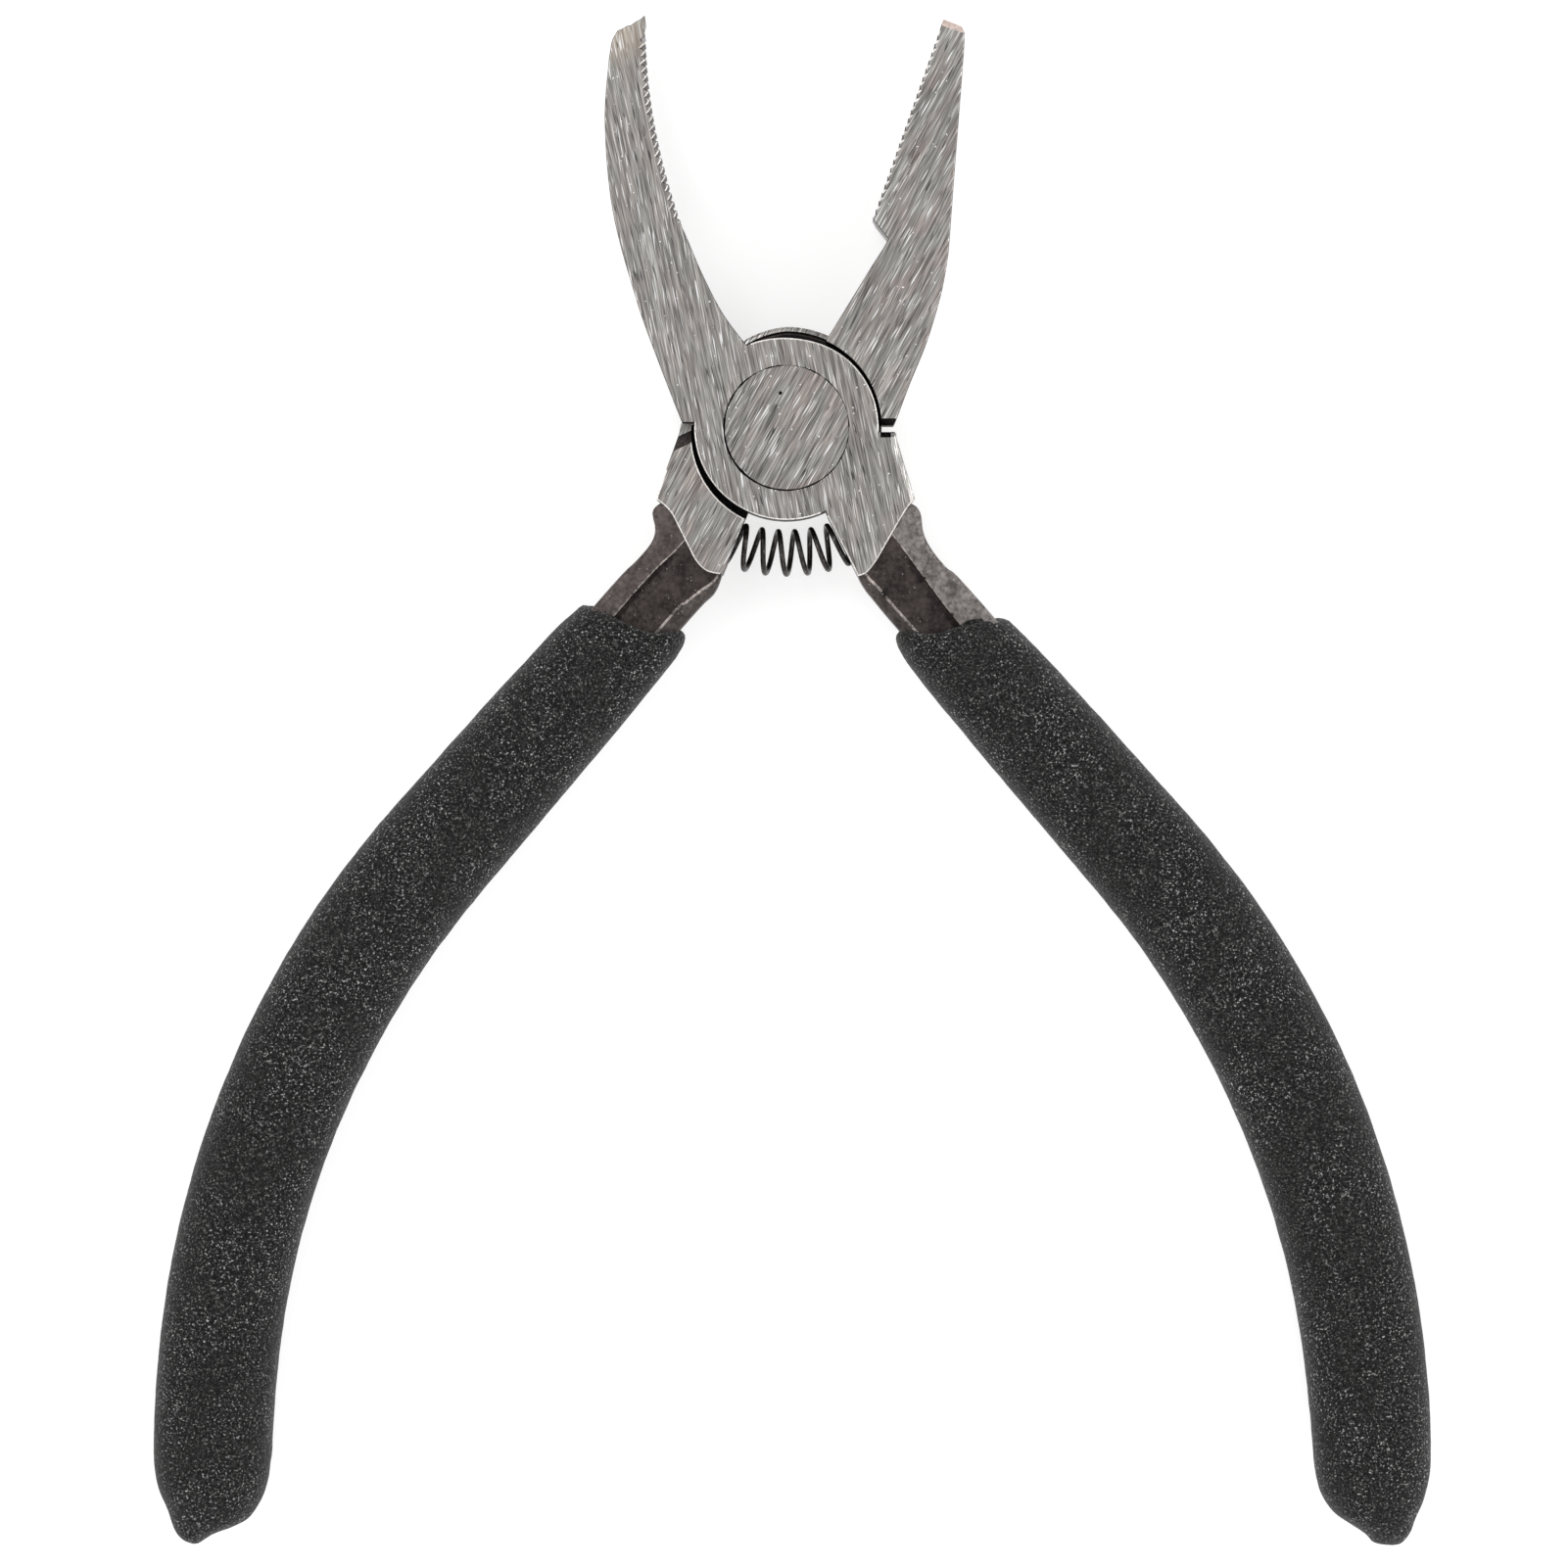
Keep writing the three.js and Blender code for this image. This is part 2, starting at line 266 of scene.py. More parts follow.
@dataclass(frozen=True)
class Teeth:
    """Fine saw teeth, their gullets slightly uneven."""

    count: int
    depth: float
    gullet: float = 0.55  # where a gullet lies between two crests
    beyond: float = 0.56  # where the curve's direction is read
    least: float = 0.92  # the share of the depth that the unevenness is about
    sway: float = 0.16
    sway_rate: float = 2.3

    def along(self, curve: Callable[[float], Point2]) -> list[Point2]:
        """Cuts the teeth along a curve.

        Args:
            curve: Gives the point at each share of the curve, with the metal on its right.

        Returns:
            The points after the curve's first, gullet and crest in turn.
        """
        made: list[Point2] = []
        for tooth in range(self.count):
            gullet, beyond, crest = (curve((tooth + share) / self.count)
                                     for share in (self.gullet, self.beyond, 1))
            along = (beyond[0] - gullet[0], beyond[1] - gullet[1])
            depth = self.depth * (self.least + self.sway * math.sin(tooth * self.sway_rate))
            scale = depth / math.hypot(*along)
            made += [(gullet[0] + along[1] * scale, gullet[1] - along[0] * scale), crest]
        return made


# ---------------------------------------------------------------- closed meshes


def shown(name: str, mesh: bmesh.types.BMesh, finishes: Sequence[bpy.types.Material]
          ) -> bpy.types.Object:
    """Turns a mesh under construction into an object, its faces turned outwards.

    Args:
        name: The piece's name.
        mesh: The mesh, used up by this.
        finishes: Its materials, in the order of the faces' indices.

    Returns:
        The new object.
    """
    bmesh.ops.recalc_face_normals(mesh, faces=mesh.faces)
    data = bpy.data.meshes.new(name)
    mesh.to_mesh(data)
    mesh.free()
    for finish in finishes:
        data.materials.append(finish)
    piece = bpy.data.objects.new(name, data)
    bpy.context.scene.collection.objects.link(piece)
    return piece


def fitted(piece: bpy.types.Object, tool: bpy.types.Object, how: Fit) -> None:
    """Joins another closed mesh to a piece, or cuts it away, and uses it up.

    Args:
        piece: What is changed.
        tool: What is joined or cut away.
        how: Which of the two.
    """
    step = piece.modifiers.new("fit", "BOOLEAN")
    step.operation = how.value
    step.solver = "EXACT"
    step.material_mode = "TRANSFER"
    step.object = tool
    view = bpy.context.evaluated_depsgraph_get()
    result = bpy.data.meshes.new_from_object(piece.evaluated_get(view))
    piece.modifiers.clear()
    old = piece.data
    piece.data = result
    bpy.data.meshes.remove(old)
    used = tool.data
    bpy.data.objects.remove(tool)
    bpy.data.meshes.remove(used)


def sharpened(piece: bpy.types.Object, angle: float) -> None:
    """Smooths a piece's curved faces and keeps its flat faces flat.

    Args:
        piece: The piece, finished apart from this.
        angle: Edges that turn further than this, in degrees, stay sharp.
    """
    mesh = bmesh.new()
    mesh.from_mesh(piece.data)
    limit = math.radians(angle)
    for face in mesh.faces:
        face.smooth = True
    for edge in mesh.edges:
        flat = [abs(face.normal.z) > FLAT for face in edge.link_faces]
        turned = len(edge.link_faces) == 2 and edge.calc_face_angle(0.0) > limit
        edge.smooth = not (turned or any(flat) != all(flat))
    mesh.to_mesh(piece.data)
    mesh.free()


def into_frame(piece: bpy.types.Object) -> None:
    """Moves a finished piece from millimetres about the pivot into the frame."""
    piece.data.transform(Matrix.Translation(PIVOT) @ Matrix.Scale(METRE, 4))
    piece.data.update()


def placed(piece: bpy.types.Object, body: Body, slot: Slot, *nodes: str) -> bpy.types.Object:
    """Args:
        piece: The piece.
        body: The body it rides on.
        slot: The record's slot for its finish. Not used.
        nodes: The solids that it stands for.

    Returns:
        The same piece.
    """
    into_frame(piece)
    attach(piece, body.value)
    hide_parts(*nodes)
    log.info("%s: %d faces on %s", piece.name, len(piece.data.polygons), body.value)
    return piece


def turned_round(profile: Sequence[Point2], segments: int = 96,
                 waver: Callable[[float, int], float] | None = None) -> bmesh.types.BMesh:
    """Turns a profile round the pivot's axis into a closed mesh.

    Args:
        profile: Radius and height of each step, from the bottom's middle to the top's, where the
            first and the last radius are closed with a flat face.
        segments: How many steps there are round the axis.
        waver: Adds to the radius at an angle of a step of the profile.

    Returns:
        The mesh.
    """
    mesh = bmesh.new()
    rings = []
    for row, (radius, height) in enumerate(profile):
        ring = []
        for index in range(segments):
            turn = 2 * math.pi * index / segments
            reach = radius + (waver(turn, row) if waver else 0.0)
            ring.append(mesh.verts.new((reach * math.cos(turn), reach * math.sin(turn), height)))
        rings.append(ring)
    for low, high in zip(rings, rings[1:]):
        for index in range(segments):
            ahead = (index + 1) % segments
            mesh.faces.new((low[index], low[ahead], high[ahead], high[index]))
    mesh.faces.new(rings[0])
    mesh.faces.new(rings[-1])
    return mesh


def wrapped(rings: Sequence[Sequence[Point3]], material: Callable[[int, int], int] | None = None
            ) -> bmesh.types.BMesh:
    """Covers rings of points with one closed skin.

    Args:
        rings: Rings of the same number of points, from one end to the other.
        material: Gives the material's index for the face at a ring and a point.

    Returns:
        The mesh, its two ends closed.
    """
    mesh = bmesh.new()
    rows = [[mesh.verts.new(point) for point in ring] for ring in rings]
    count = len(rows[0])
    for row, (low, high) in enumerate(zip(rows, rows[1:])):
        for index in range(count):
            ahead = (index + 1) % count
            face = mesh.faces.new((low[index], low[ahead], high[ahead], high[index]))
            face.material_index = material(row, index) if material else 0
    mesh.faces.new(rows[0])
    mesh.faces.new(rows[-1])
    return mesh


# ---------------------------------------------------------------- finishes


class Shading:
    """A material's node tree, written from its coordinates to its shader."""

    def __init__(self, name: str) -> None:
        """Starts an empty material with object coordinates, a shader and an output.

        Args:
            name: The material's name.
        """
        self.material = bpy.data.materials.new(name)
        self.material.use_nodes = True
        self.tree = self.material.node_tree
        self.tree.nodes.clear()
        self.shader = self.tree.nodes.new("ShaderNodeBsdfPrincipled")
        output = self.tree.nodes.new("ShaderNodeOutputMaterial")
        self.link(self.shader.outputs["BSDF"], output.inputs["Surface"])
        self.place = self.tree.nodes.new("ShaderNodeTexCoord").outputs["Object"]

    def link(self, source: bpy.types.NodeSocket, target: bpy.types.NodeSocket) -> None:
        """Joins two sockets."""
        self.tree.links.new(source, target)

    def stretched(self, size: Point3, turn: float = 0.0) -> bpy.types.NodeSocket:
        """Gives coordinates that count in grains of a size.

        Args:
            size: A grain's size across, along and in height, in millimetres.
            turn: How far the grain's length is turned from +Y, in degrees.

        Returns:
            The coordinates.
        """
        node = self.tree.nodes.new("ShaderNodeMapping")
        node.vector_type = "TEXTURE"
        node.inputs["Rotation"].default_value = (0, 0, math.radians(turn))
        node.inputs["Scale"].default_value = tuple(METRE * side for side in size)
        self.link(self.place, node.inputs["Vector"])
        return node.outputs["Vector"]

    def noise(self, grain: bpy.types.NodeSocket, detail: float = 2.0, rough: float = 0.5,
              shift: float = 0.0) -> bpy.types.NodeSocket:
        """Gives an even noise with one lump to a grain.

        Args:
            grain: The coordinates that it is read at.
            detail: How many finer layers it has.
            rough: How strong they are.
            shift: Bends the lumps out of line.

        Returns:
            The noise, about 0.5.
        """
        node = self.tree.nodes.new("ShaderNodeTexNoise")
        node.inputs["Scale"].default_value = 1.0
        node.inputs["Detail"].default_value = detail
        node.inputs["Roughness"].default_value = rough
        node.inputs["Distortion"].default_value = shift
        self.link(grain, node.inputs["Vector"])
        return node.outputs["Fac"]

    def ramp(self, value: bpy.types.NodeSocket, stops: Iterable[tuple[float, Sequence[float]]]
             ) -> bpy.types.NodeSocket:
        """Gives a colour for each value.

        Args:
            value: The value.
            stops: Places between 0 and 1, each with a grey or a colour.

        Returns:
            The colour.
        """
        node = self.tree.nodes.new("ShaderNodeValToRGB")
        stops = list(stops)
        for index, (place, colour) in enumerate(stops):
            if index < 2:
                stop = node.color_ramp.elements[index]
                stop.position = place
            else:
                stop = node.color_ramp.elements.new(place)
            stop.color = (*colour, 1.0) if len(colour) == 3 else (*(colour * 3), 1.0)
        self.link(value, node.inputs["Fac"])
        return node.outputs["Color"]

    def blend(self, kind: Blend, first: bpy.types.NodeSocket, second: bpy.types.NodeSocket,
              share: float | bpy.types.NodeSocket) -> bpy.types.NodeSocket:
        """Lays one colour over another.

        Args:
            kind: How it is laid.
            first: The lower colour.
            second: The upper one.
            share: How much of the upper one counts.

        Returns:
            The result.
        """
        node = self.tree.nodes.new("ShaderNodeMix")
        node.data_type = "RGBA"
        node.blend_type = kind.value
        factor, lower, upper = node.inputs[0], node.inputs[6], node.inputs[7]
        if isinstance(share, float):
            factor.default_value = share
        else:
            self.link(share, factor)
        self.link(first, lower)
        self.link(second, upper)
        return node.outputs[2]

    def sum(self, parts: Sequence[tuple[bpy.types.NodeSocket, float]]) -> bpy.types.NodeSocket:
        """Adds values.

        Args:
            parts: The values, each with its weight.

        Returns:
            Their sum.
        """
        total = None
        for value, weight in parts:
            node = self.tree.nodes.new("ShaderNodeMath")
            node.operation = "MULTIPLY_ADD"
            node.inputs[1].default_value = weight
            self.link(value, node.inputs[0])
            if total is None:
                node.inputs[2].default_value = 0.0
            else:
                self.link(total, node.inputs[2])
            total = node.outputs[0]
        return total

    def range(self, value: bpy.types.NodeSocket, low: float, high: float, start: float = 0.3,
              end: float = 0.7) -> bpy.types.NodeSocket:
        """Spreads a stretch of a value, at first the middle of a noise, between two others.

        Args:
            value: The value.
            low: What the stretch's start becomes.
            high: What its end becomes.
            start: Where the stretch starts.
            end: Where it ends.

        Returns:
            The result.
        """
        node = self.tree.nodes.new("ShaderNodeMapRange")
        for side, number in (("From Min", start), ("From Max", end), ("To Min", low),
                             ("To Max", high)):
            node.inputs[side].default_value = number
        self.link(value, node.inputs["Value"])
        return node.outputs["Result"]

    def near(self, spot: Point3, reach: float, grain: bpy.types.NodeSocket
             ) -> bpy.types.NodeSocket:
        """Gives 0.8 at a spot and 0 a way off, with an uneven border.

        Args:
            spot: Where it is, in millimetres about the pivot.
            reach: How far it goes, in millimetres.
            grain: A noise that breaks its border.

        Returns:
            The share.
        """
        away = self.tree.nodes.new("ShaderNodeVectorMath")
        away.operation = "DISTANCE"
        away.inputs[1].default_value = PIVOT + METRE * Vector(spot)
        self.link(self.place, away.inputs[0])
        total = self.sum(((away.outputs["Value"], 1 / (reach * METRE)), (grain, 1.2)))
        return self.range(total, 0.8, 0.0, 0.9, 1.7)

    def relief(self, height: bpy.types.NodeSocket, depth: float, strength: float) -> None:
        """Raises the surface a little by a height.

        Args:
            height: The height, from 0 to 1.
            depth: What 1 stands for, in millimetres.
            strength: How much of it counts.
        """
        node = self.tree.nodes.new("ShaderNodeBump")
        node.inputs["Strength"].default_value = strength
        node.inputs["Distance"].default_value = depth * METRE
        self.link(height, node.inputs["Height"])
        self.link(node.outputs["Normal"], self.shader.inputs["Normal"])

    def surface(self, colour: bpy.types.NodeSocket, rough: bpy.types.NodeSocket,
                **values: float) -> None:
        """Gives the shader its colour and roughness, and sets its other values.

        Args:
            colour: The colour.
            rough: The roughness.
            values: The others by name, with _ for each space.
        """
        self.link(colour, self.shader.inputs["Base Color"])
        self.link(rough, self.shader.inputs["Roughness"])
        for name, value in values.items():
            self.shader.inputs[name.replace("_", " ")].default_value = value


@dataclass(frozen=True)
class Finish:
    """What a visible surface is made to look like."""

    name: str

    def material(self) -> bpy.types.Material:
        """Builds the finish.

        Returns:
            The material.
        """
        shading = Shading(self.name)
        self._dress(shading)
        return shading.material

    def _dress(self, s: Shading) -> None:
        """Writes the finish into an empty material.

        Args:
            s: The material that is being built.
        """
        raise NotImplementedError(self.name)


@dataclass(frozen=True)
class GroundSteel(Finish):
    """Steel ground flat on a coarse belt: short strokes, nicks, bright pits and a warm end."""

    stroke_turn: float  # of the strokes, in degrees from +Y
    shade: float = 1.0
    warmth: float = 0.5
    warm_end: Point3 | None = None  # about the pivot
    warm_reach: float = 3.2
    sides: bool = False  # on the sides, where the strokes run level

    def _marks(self, s: Shading, across: float, long: float, deep: float, turn: float = 0.0
               ) -> bpy.types.NodeSocket:
        """Gives the coordinates of strokes that are so wide and so long.

        Args:
            s: The finish that is being built.
            across: Their width in millimetres.
            long: Their length in millimetres.
            deep: How far they reach into the metal, in millimetres.
            turn: How far they lean from the other strokes, in degrees.

        Returns:
            The coordinates.
        """
        if self.sides:
            return s.stretched((long, long, across))
        return s.stretched((across, long, deep), self.stroke_turn + turn)

    def _dress(self, s: Shading) -> None:
        """Writes the strokes and their marks.

        Args:
            s: The material that is being built.
        """
        hair = s.noise(self._marks(s, 0.105, 3.2, 0.9), 1.0, 0.55)
        stroke = s.noise(self._marks(s, 0.26, 7.0, 1.6, 1.5), 1.0, 0.5)
        nick = s.noise(self._marks(s, 0.12, 2.2, 0.6, 3.0), 0.0, 0.5)
        glint = s.noise(self._marks(s, 0.11, 2.8, 0.7, -2.0), 0.0, 0.5, 0.1)
        patch = s.noise(s.stretched((1.6, 4.5, 3.0), self.stroke_turn), 3.0, 0.6)
        pit = s.noise(s.stretched((0.24, 0.28, 0.26)), 0.0, 0.0)
        grain = s.sum(((hair, 0.72), (stroke, 0.28)))
        ground = s.ramp(grain, (
            (place, tuple(shade * self.shade for shade in colour)) for place, colour in (
                (0.30, (0.10, 0.095, 0.090)), (0.42, (0.225, 0.214, 0.204)),
                (0.52, (0.325, 0.311, 0.296)), (0.62, (0.47, 0.452, 0.43)),
                (0.74, (0.80, 0.77, 0.74)),
            )
        ))
        warm = s.ramp(patch, ((0.40, (0.97, 1.0, 0.995)), (0.62, (1.0, 0.91, 0.90))))
        tone = s.blend(Blend.TINT, ground, warm, self.warmth)
        if self.warm_end:
            tan = s.ramp(grain, ((0.3, (0.34, 0.28, 0.235)), (0.65, (0.66, 0.59, 0.51))))
            tone = s.blend(Blend.OVER, tone, tan, s.near(self.warm_end, self.warm_reach, grain))
        for mark, shades, (clear, full), share in (
            (nick, (0.045, 0.05), (0.70, 0.76), 0.85),
            (glint, (0.85, 0.95), (0.70, 0.76), 0.9),
            (pit, (0.95, 0.98), (0.83, 0.86), 0.95),
        ):
            tone = s.blend(Blend.OVER, tone, s.ramp(mark, ((0.0, shades[:1]), (1.0, shades[1:]))),
                           s.ramp(mark, ((clear, (0.0,)), (full, (share,)))))
        s.surface(tone, s.range(grain, 0.50, 0.34), Metallic=0.92)
        s.relief(s.sum(((grain, 1.0), (nick, -0.3))), 0.03, 0.5)


class Forging(Enum):
    """The places of a forging, each with its colour, its contrast and how rare specks are."""

    BAND = ((0.190, 0.172, 0.164), 0.55, 0.76)  # a neck's raised band, where it is scoured
    BACK_BAND = ((0.085, 0.069, 0.065), 0.50, 0.80)  # the same, darker: painted shade on the back half's neck
    CHAMFER = ((0.062, 0.052, 0.048), 0.50, 0.80)  # a neck's inner edge
    WEB = ((0.042, 0.033, 0.031), 0.60, 0.80)  # a neck's sunk web; on the plates' broken edges, tooth walls and the crown's step it is painted shade
    WORN = ((0.26, 0.23, 0.215), 0.98, 0.66)  # ridges worn, and bright in places: a painted highlight
    RUBBED = ((0.80, 0.77, 0.74), 0.25, 0.60)  # painted highlight on broken edges and rims
    TIP = ((0.62, 0.50, 0.455), 0.30, 0.62)  # the straight jaw's end
    OXIDE = ((0.010, 0.008, 0.008), 0.40, 0.90)  # inside the lap; in the crown's groove and beside its hub, and on the undercut, it is painted shade


@dataclass(frozen=True)
class ForgedSteel(Finish):
    """Forged steel left dark and brownish, slightly lumpy, with fine bright specks."""

    forging: Forging

    def _dress(self, s: Shading) -> None:
        """Writes the lumps and the specks.

        Args:
            s: The material that is being built.
        """
        colour, contrast, rarity = self.forging.value
        cloud = s.noise(s.stretched((1.5, 2.0, 1.7)), 4.0, 0.6)
        scale = s.noise(s.stretched((0.42, 0.46, 0.42)), 3.0, 0.6)
        speck = s.noise(s.stretched((0.19, 0.19, 0.19)), 0.0, 0.0)
        lumps = s.sum(((cloud, 0.5), (scale, 0.5)))
        base = s.ramp(lumps, (
            (0.38, tuple((1 - contrast) * c for c in colour)),
            (0.50, colour),
            (0.62, tuple((1 + contrast) * c for c in colour)),
        ))
        bright = s.ramp(speck, ((0.0, (0.42, 0.38, 0.36)), (1.0, (0.5, 0.46, 0.44))))
        flecked = s.ramp(speck, ((rarity, (0.0,)), (rarity + 0.07, (0.8,))))
        s.surface(s.blend(Blend.OVER, base, bright, flecked), s.range(scale, 0.60, 0.40),
                  Metallic=0.6, Specular_IOR_Level=0.3)
        s.relief(lumps, 0.12, 0.7)


@dataclass(frozen=True)
class SpringSteel(Finish):
    """Wire blackened in oil, satin, with faint drawing marks."""

    def _dress(self, s: Shading) -> None:
        """Writes the scuffs.

        Args:
            s: The material that is being built.
        """
        scuff = s.noise(s.stretched((0.25, 0.5, 0.25)), 3.0, 0.6)
        black = s.ramp(scuff, ((0.35, (0.018, 0.016, 0.016)), (0.58, (0.045, 0.040, 0.038)),
                               (0.74, (0.20, 0.175, 0.165))))
        s.surface(black, s.range(scuff, 0.42, 0.26), Metallic=0.75)
        s.relief(scuff, 0.02, 0.4)


@dataclass(frozen=True)
class DippedFoam(Finish):
    """Matte foamed dip: a charcoal skin of tiny popped bubbles, denser in some places, its bright
    specks painted glints.
    """

    def _dress(self, s: Shading) -> None:
        """Writes the bubbles.

        Args:
            s: The material that is being built.
        """
        bubble = s.noise(s.stretched((0.23, 0.23, 0.23)), 1.0, 0.5)
        fine = s.noise(s.stretched((0.12, 0.12, 0.12)), 0.0, 0.5)
        zone = s.noise(s.stretched((4.0, 7.0, 4.0)), 2.0, 0.5)
        grain = s.sum(((bubble, 0.66), (fine, 0.34)))
        # The rough ramp's bright end paints glints into the colour, painted highlights on the
        # bubbles.
        rough = s.ramp(grain, ((0.38, (0.0004, 0.0004, 0.0004)), (0.46, (0.007, 0.0068, 0.0068)),
                               (0.56, (0.018, 0.0176, 0.0174)), (0.63, (0.105, 0.105, 0.104)),
                               (0.71, (0.48, 0.48, 0.475))))
        smooth = s.ramp(grain, ((0.36, (0.003, 0.003, 0.003)), (0.50, (0.011, 0.0107, 0.0105)),
                                (0.66, (0.04, 0.039, 0.038))))
        bubbles_and_glints = s.ramp(zone, ((0.38, (0.30,)), (0.56, (1.0,))))
        s.surface(s.blend(Blend.OVER, smooth, rough, bubbles_and_glints), s.range(grain, 0.95, 0.70),
                  Specular_IOR_Level=0.22, Sheen_Weight=0.10, Sheen_Roughness=0.45)
        s.relief(grain, 0.16, 0.9)


@dataclass(frozen=True)
class PaleFloor(Finish):
    """A plain pale floor that glows a little, so that shadows on it stay faint."""

    name: str = "pale_floor"
    glow: float = 0.60

    def _dress(self, s: Shading) -> None:
        """Sets the shader's values.

        Args:
            s: The material that is being built.
        """
        for name, value in (
            ("Base Color", (0.62, 0.62, 0.62, 1.0)), ("Roughness", 0.95),
            ("Specular IOR Level", 0.1), ("Emission Color", (1.0, 1.0, 1.0, 1.0)),
            ("Emission Strength", self.glow),
        ):
            s.shader.inputs[name].default_value = value


@dataclass(frozen=True)
class ForgedSet:
    """The finishes of the parts of a half that aren't its ground face."""

    forged: dict[Forging, bpy.types.Material]
    side: bpy.types.Material  # the ground sides of the jaw and the shoulder
    band: Forging = Forging.BAND  # the neck's raised band and sides

    @property
    def oxide(self) -> bpy.types.Material:
        """Gives the finish inside the lap."""
        return self.forged[Forging.OXIDE]

    def neck(self) -> list[bpy.types.Material]:
        """Gives a neck's finishes in the order of their numbers."""
        order = (self.band, Forging.WEB, Forging.WORN, Forging.CHAMFER)
        return [self.forged[place] for place in order]

    def plate(self, ground: bpy.types.Material) -> list[bpy.types.Material]:
        """Gives a lapped plate's finishes in the order of their numbers."""
        return [ground, self.oxide, self.forged[Forging.RUBBED], self.forged[Forging.WEB],
                self.side]


# ---------------------------------------------------------------- handles


@dataclass(frozen=True)
class HandleLine:
    """A handle's centre line: straight from the pivot's height, then an arc."""

    side: int  # 1 on the right, -1 on the left
    start: float
    angle: float
    straight: float
    bend: float

    def beside(self, along: float, across: float) -> Point2:
        """Gives the point at a place beside the line.

        Args:
            along: How far along the line it is.
            across: How far across it, outwards.

        Returns:
            The point in plan.
        """
        lean = math.radians(self.angle)
        run = min(along, self.straight)
        heading = lean - (along - run) / self.bend
        x = (self.start + math.sin(lean) * run
             + self.bend * (math.cos(heading) - math.cos(lean)) + across * math.cos(heading))
        y = (-math.cos(lean) * run
             + self.bend * (math.sin(heading) - math.sin(lean)) + across * math.sin(heading))
        return (self.side * x, y)


@cache
def smoothed(stops: tuple[Point2, ...]) -> tuple[np.ndarray, np.ndarray]:
    """Gives the places and the values of an even curve through stops."""
    places, values = zip(*through(stops, 6))
    return np.array(places), np.array(values)


@dataclass(frozen=True)
class Rail:
    """A value that changes evenly along a handle."""

    stops: tuple[Point2, ...]

    def at(self, along: float) -> float:
        """Gives the value at a distance along the handle."""
        return float(np.interp(along, *smoothed(self.stops)))


WORN_AND_HIGHLIT_STEPS = (7, 14)  # the steps of a neck's section that are worn and carry a painted highlight
WEB_STEPS = range(8, 14)
CHAMFER_STEPS = range(15, 19)
STEPS_BOTH = 38  # what the places of a step above and below add up to


@dataclass(frozen=True)
class Neck:
    """The forged neck and the tang that the grip is dipped on.

    Its upper face has a flat raised band on the outside, a groove, a sunk web and a chamfer on
    the inside, and its lower face is the same.
    """

    line: HandleLine
    outer: Rail
    ridge: Rail
    chamfer: Rail
    inner: Rail
    band_height: Rail = Rail(((13, 4.1), (14.5, 4.45), (16, 4.3), (18, 3.95), (21, 3.78),
                              (25, 3.75), (40, 3.75), (117, 3.75)))
    web_height: Rail = Rail(((13, 4.1), (15, 4.45), (16.5, 4.2), (18, 3.7), (20, 3.35),
                             (24, 3.15), (40, 3.15), (117, 3.3)))
    inner_height: Rail = Rail(((13, 3.9), (14.5, 4.3), (16, 3.9), (18, 3.0), (21, 2.5),
                               (25, 2.4), (40, 2.4), (117, 2.6)))
    first: float = 13.0
    last: float = 116.0
    neck_end: float = 34.0
    neck_step: float = 0.35
    tang_step: float = 3.0
    groove_depth: float = 0.22
    full_sink: float = 0.35  # how far below the band the web is where the groove is full
    ripple: float = 0.035  # how unevenly it is forged
    ripple_rate: float = 0.9

    def _section(self, along: float) -> list[Point2]:
        """Gives the upper face at one place.

        Args:
            along: How far along the handle it is.

        Returns:
            The distance across and the height of each point, from the outside in.
        """
        outer, ridge = self.outer.at(along), self.ridge.at(along)
        chamfer, inner = self.chamfer.at(along), self.inner.at(along)
        band, web = self.band_height.at(along), self.web_height.at(along)
        edge = self.inner_height.at(along)
        sunk = min(1.0, max(0.0, (band - web) / self.full_sink))
        groove = self.groove_depth * sunk
        return [
            (outer, band - 1.9), (outer, band - 0.55), (outer - 0.10, band - 0.22),
            (outer - 0.32, band - 0.04), (outer - 0.62, band),
            ((outer + ridge) / 2, band - 0.02), (ridge + 0.22, band),
            (ridge + 0.08, band + 0.05 * sunk), (ridge - 0.06, band - 0.05 * sunk),
            (ridge - 0.20, web - groove), (ridge - 0.38, web - groove),
            (ridge - 0.75, web), (0.6 * ridge + 0.4 * chamfer, web - 0.05 * sunk),
            (0.2 * ridge + 0.8 * chamfer, web), (chamfer + 0.15, web + 0.03),
            (chamfer - 0.10, web - 0.02), ((chamfer + inner) / 2, (web + edge) / 2 + 0.1),
            (inner + 0.28, edge + 0.1), (inner + 0.08, edge - 0.12), (inner, edge - 0.45),
        ]

    def mesh(self) -> bmesh.types.BMesh:
        """Builds the closed skin of the neck and the tang.

        Returns:
            The mesh, its faces numbered by NeckFinish.
        """
        stations = list(np.arange(self.first, self.neck_end, self.neck_step))
        stations += list(np.arange(self.neck_end, self.last, self.tang_step)) + [self.last]
        rings = []
        for along in stations:
            upper = self._section(float(along))
            ring = [*upper, *((across, -height) for across, height in reversed(upper))]
            points = []
            for across, height in ring:
                x, y = self.line.beside(float(along), across)
                spot = Vector((x * self.ripple_rate, y * self.ripple_rate,
                               height * self.ripple_rate))
                points.append((x, y, height * (1 + self.ripple * noise.noise(spot))))
            rings.append(points)
        return wrapped(rings, self._finish_of)

    @staticmethod
    def _finish_of(_row: int, index: int) -> NeckFinish:
        """Gives the finish of a face.

        Args:
            _row: Its place along the handle, which makes no difference.
            index: Its place round the section.

        Returns:
            The finish's number.
        """
        step = min(index, STEPS_BOTH - index)
        if step in WORN_AND_HIGHLIT_STEPS:
            return NeckFinish.WORN
        if step in WEB_STEPS:
            return NeckFinish.WEB
        return NeckFinish.CHAMFER if step in CHAMFER_STEPS else NeckFinish.BAND


DEPTH_END = 127.7  # where a grip's depth runs out on the shorter of the two, the left one


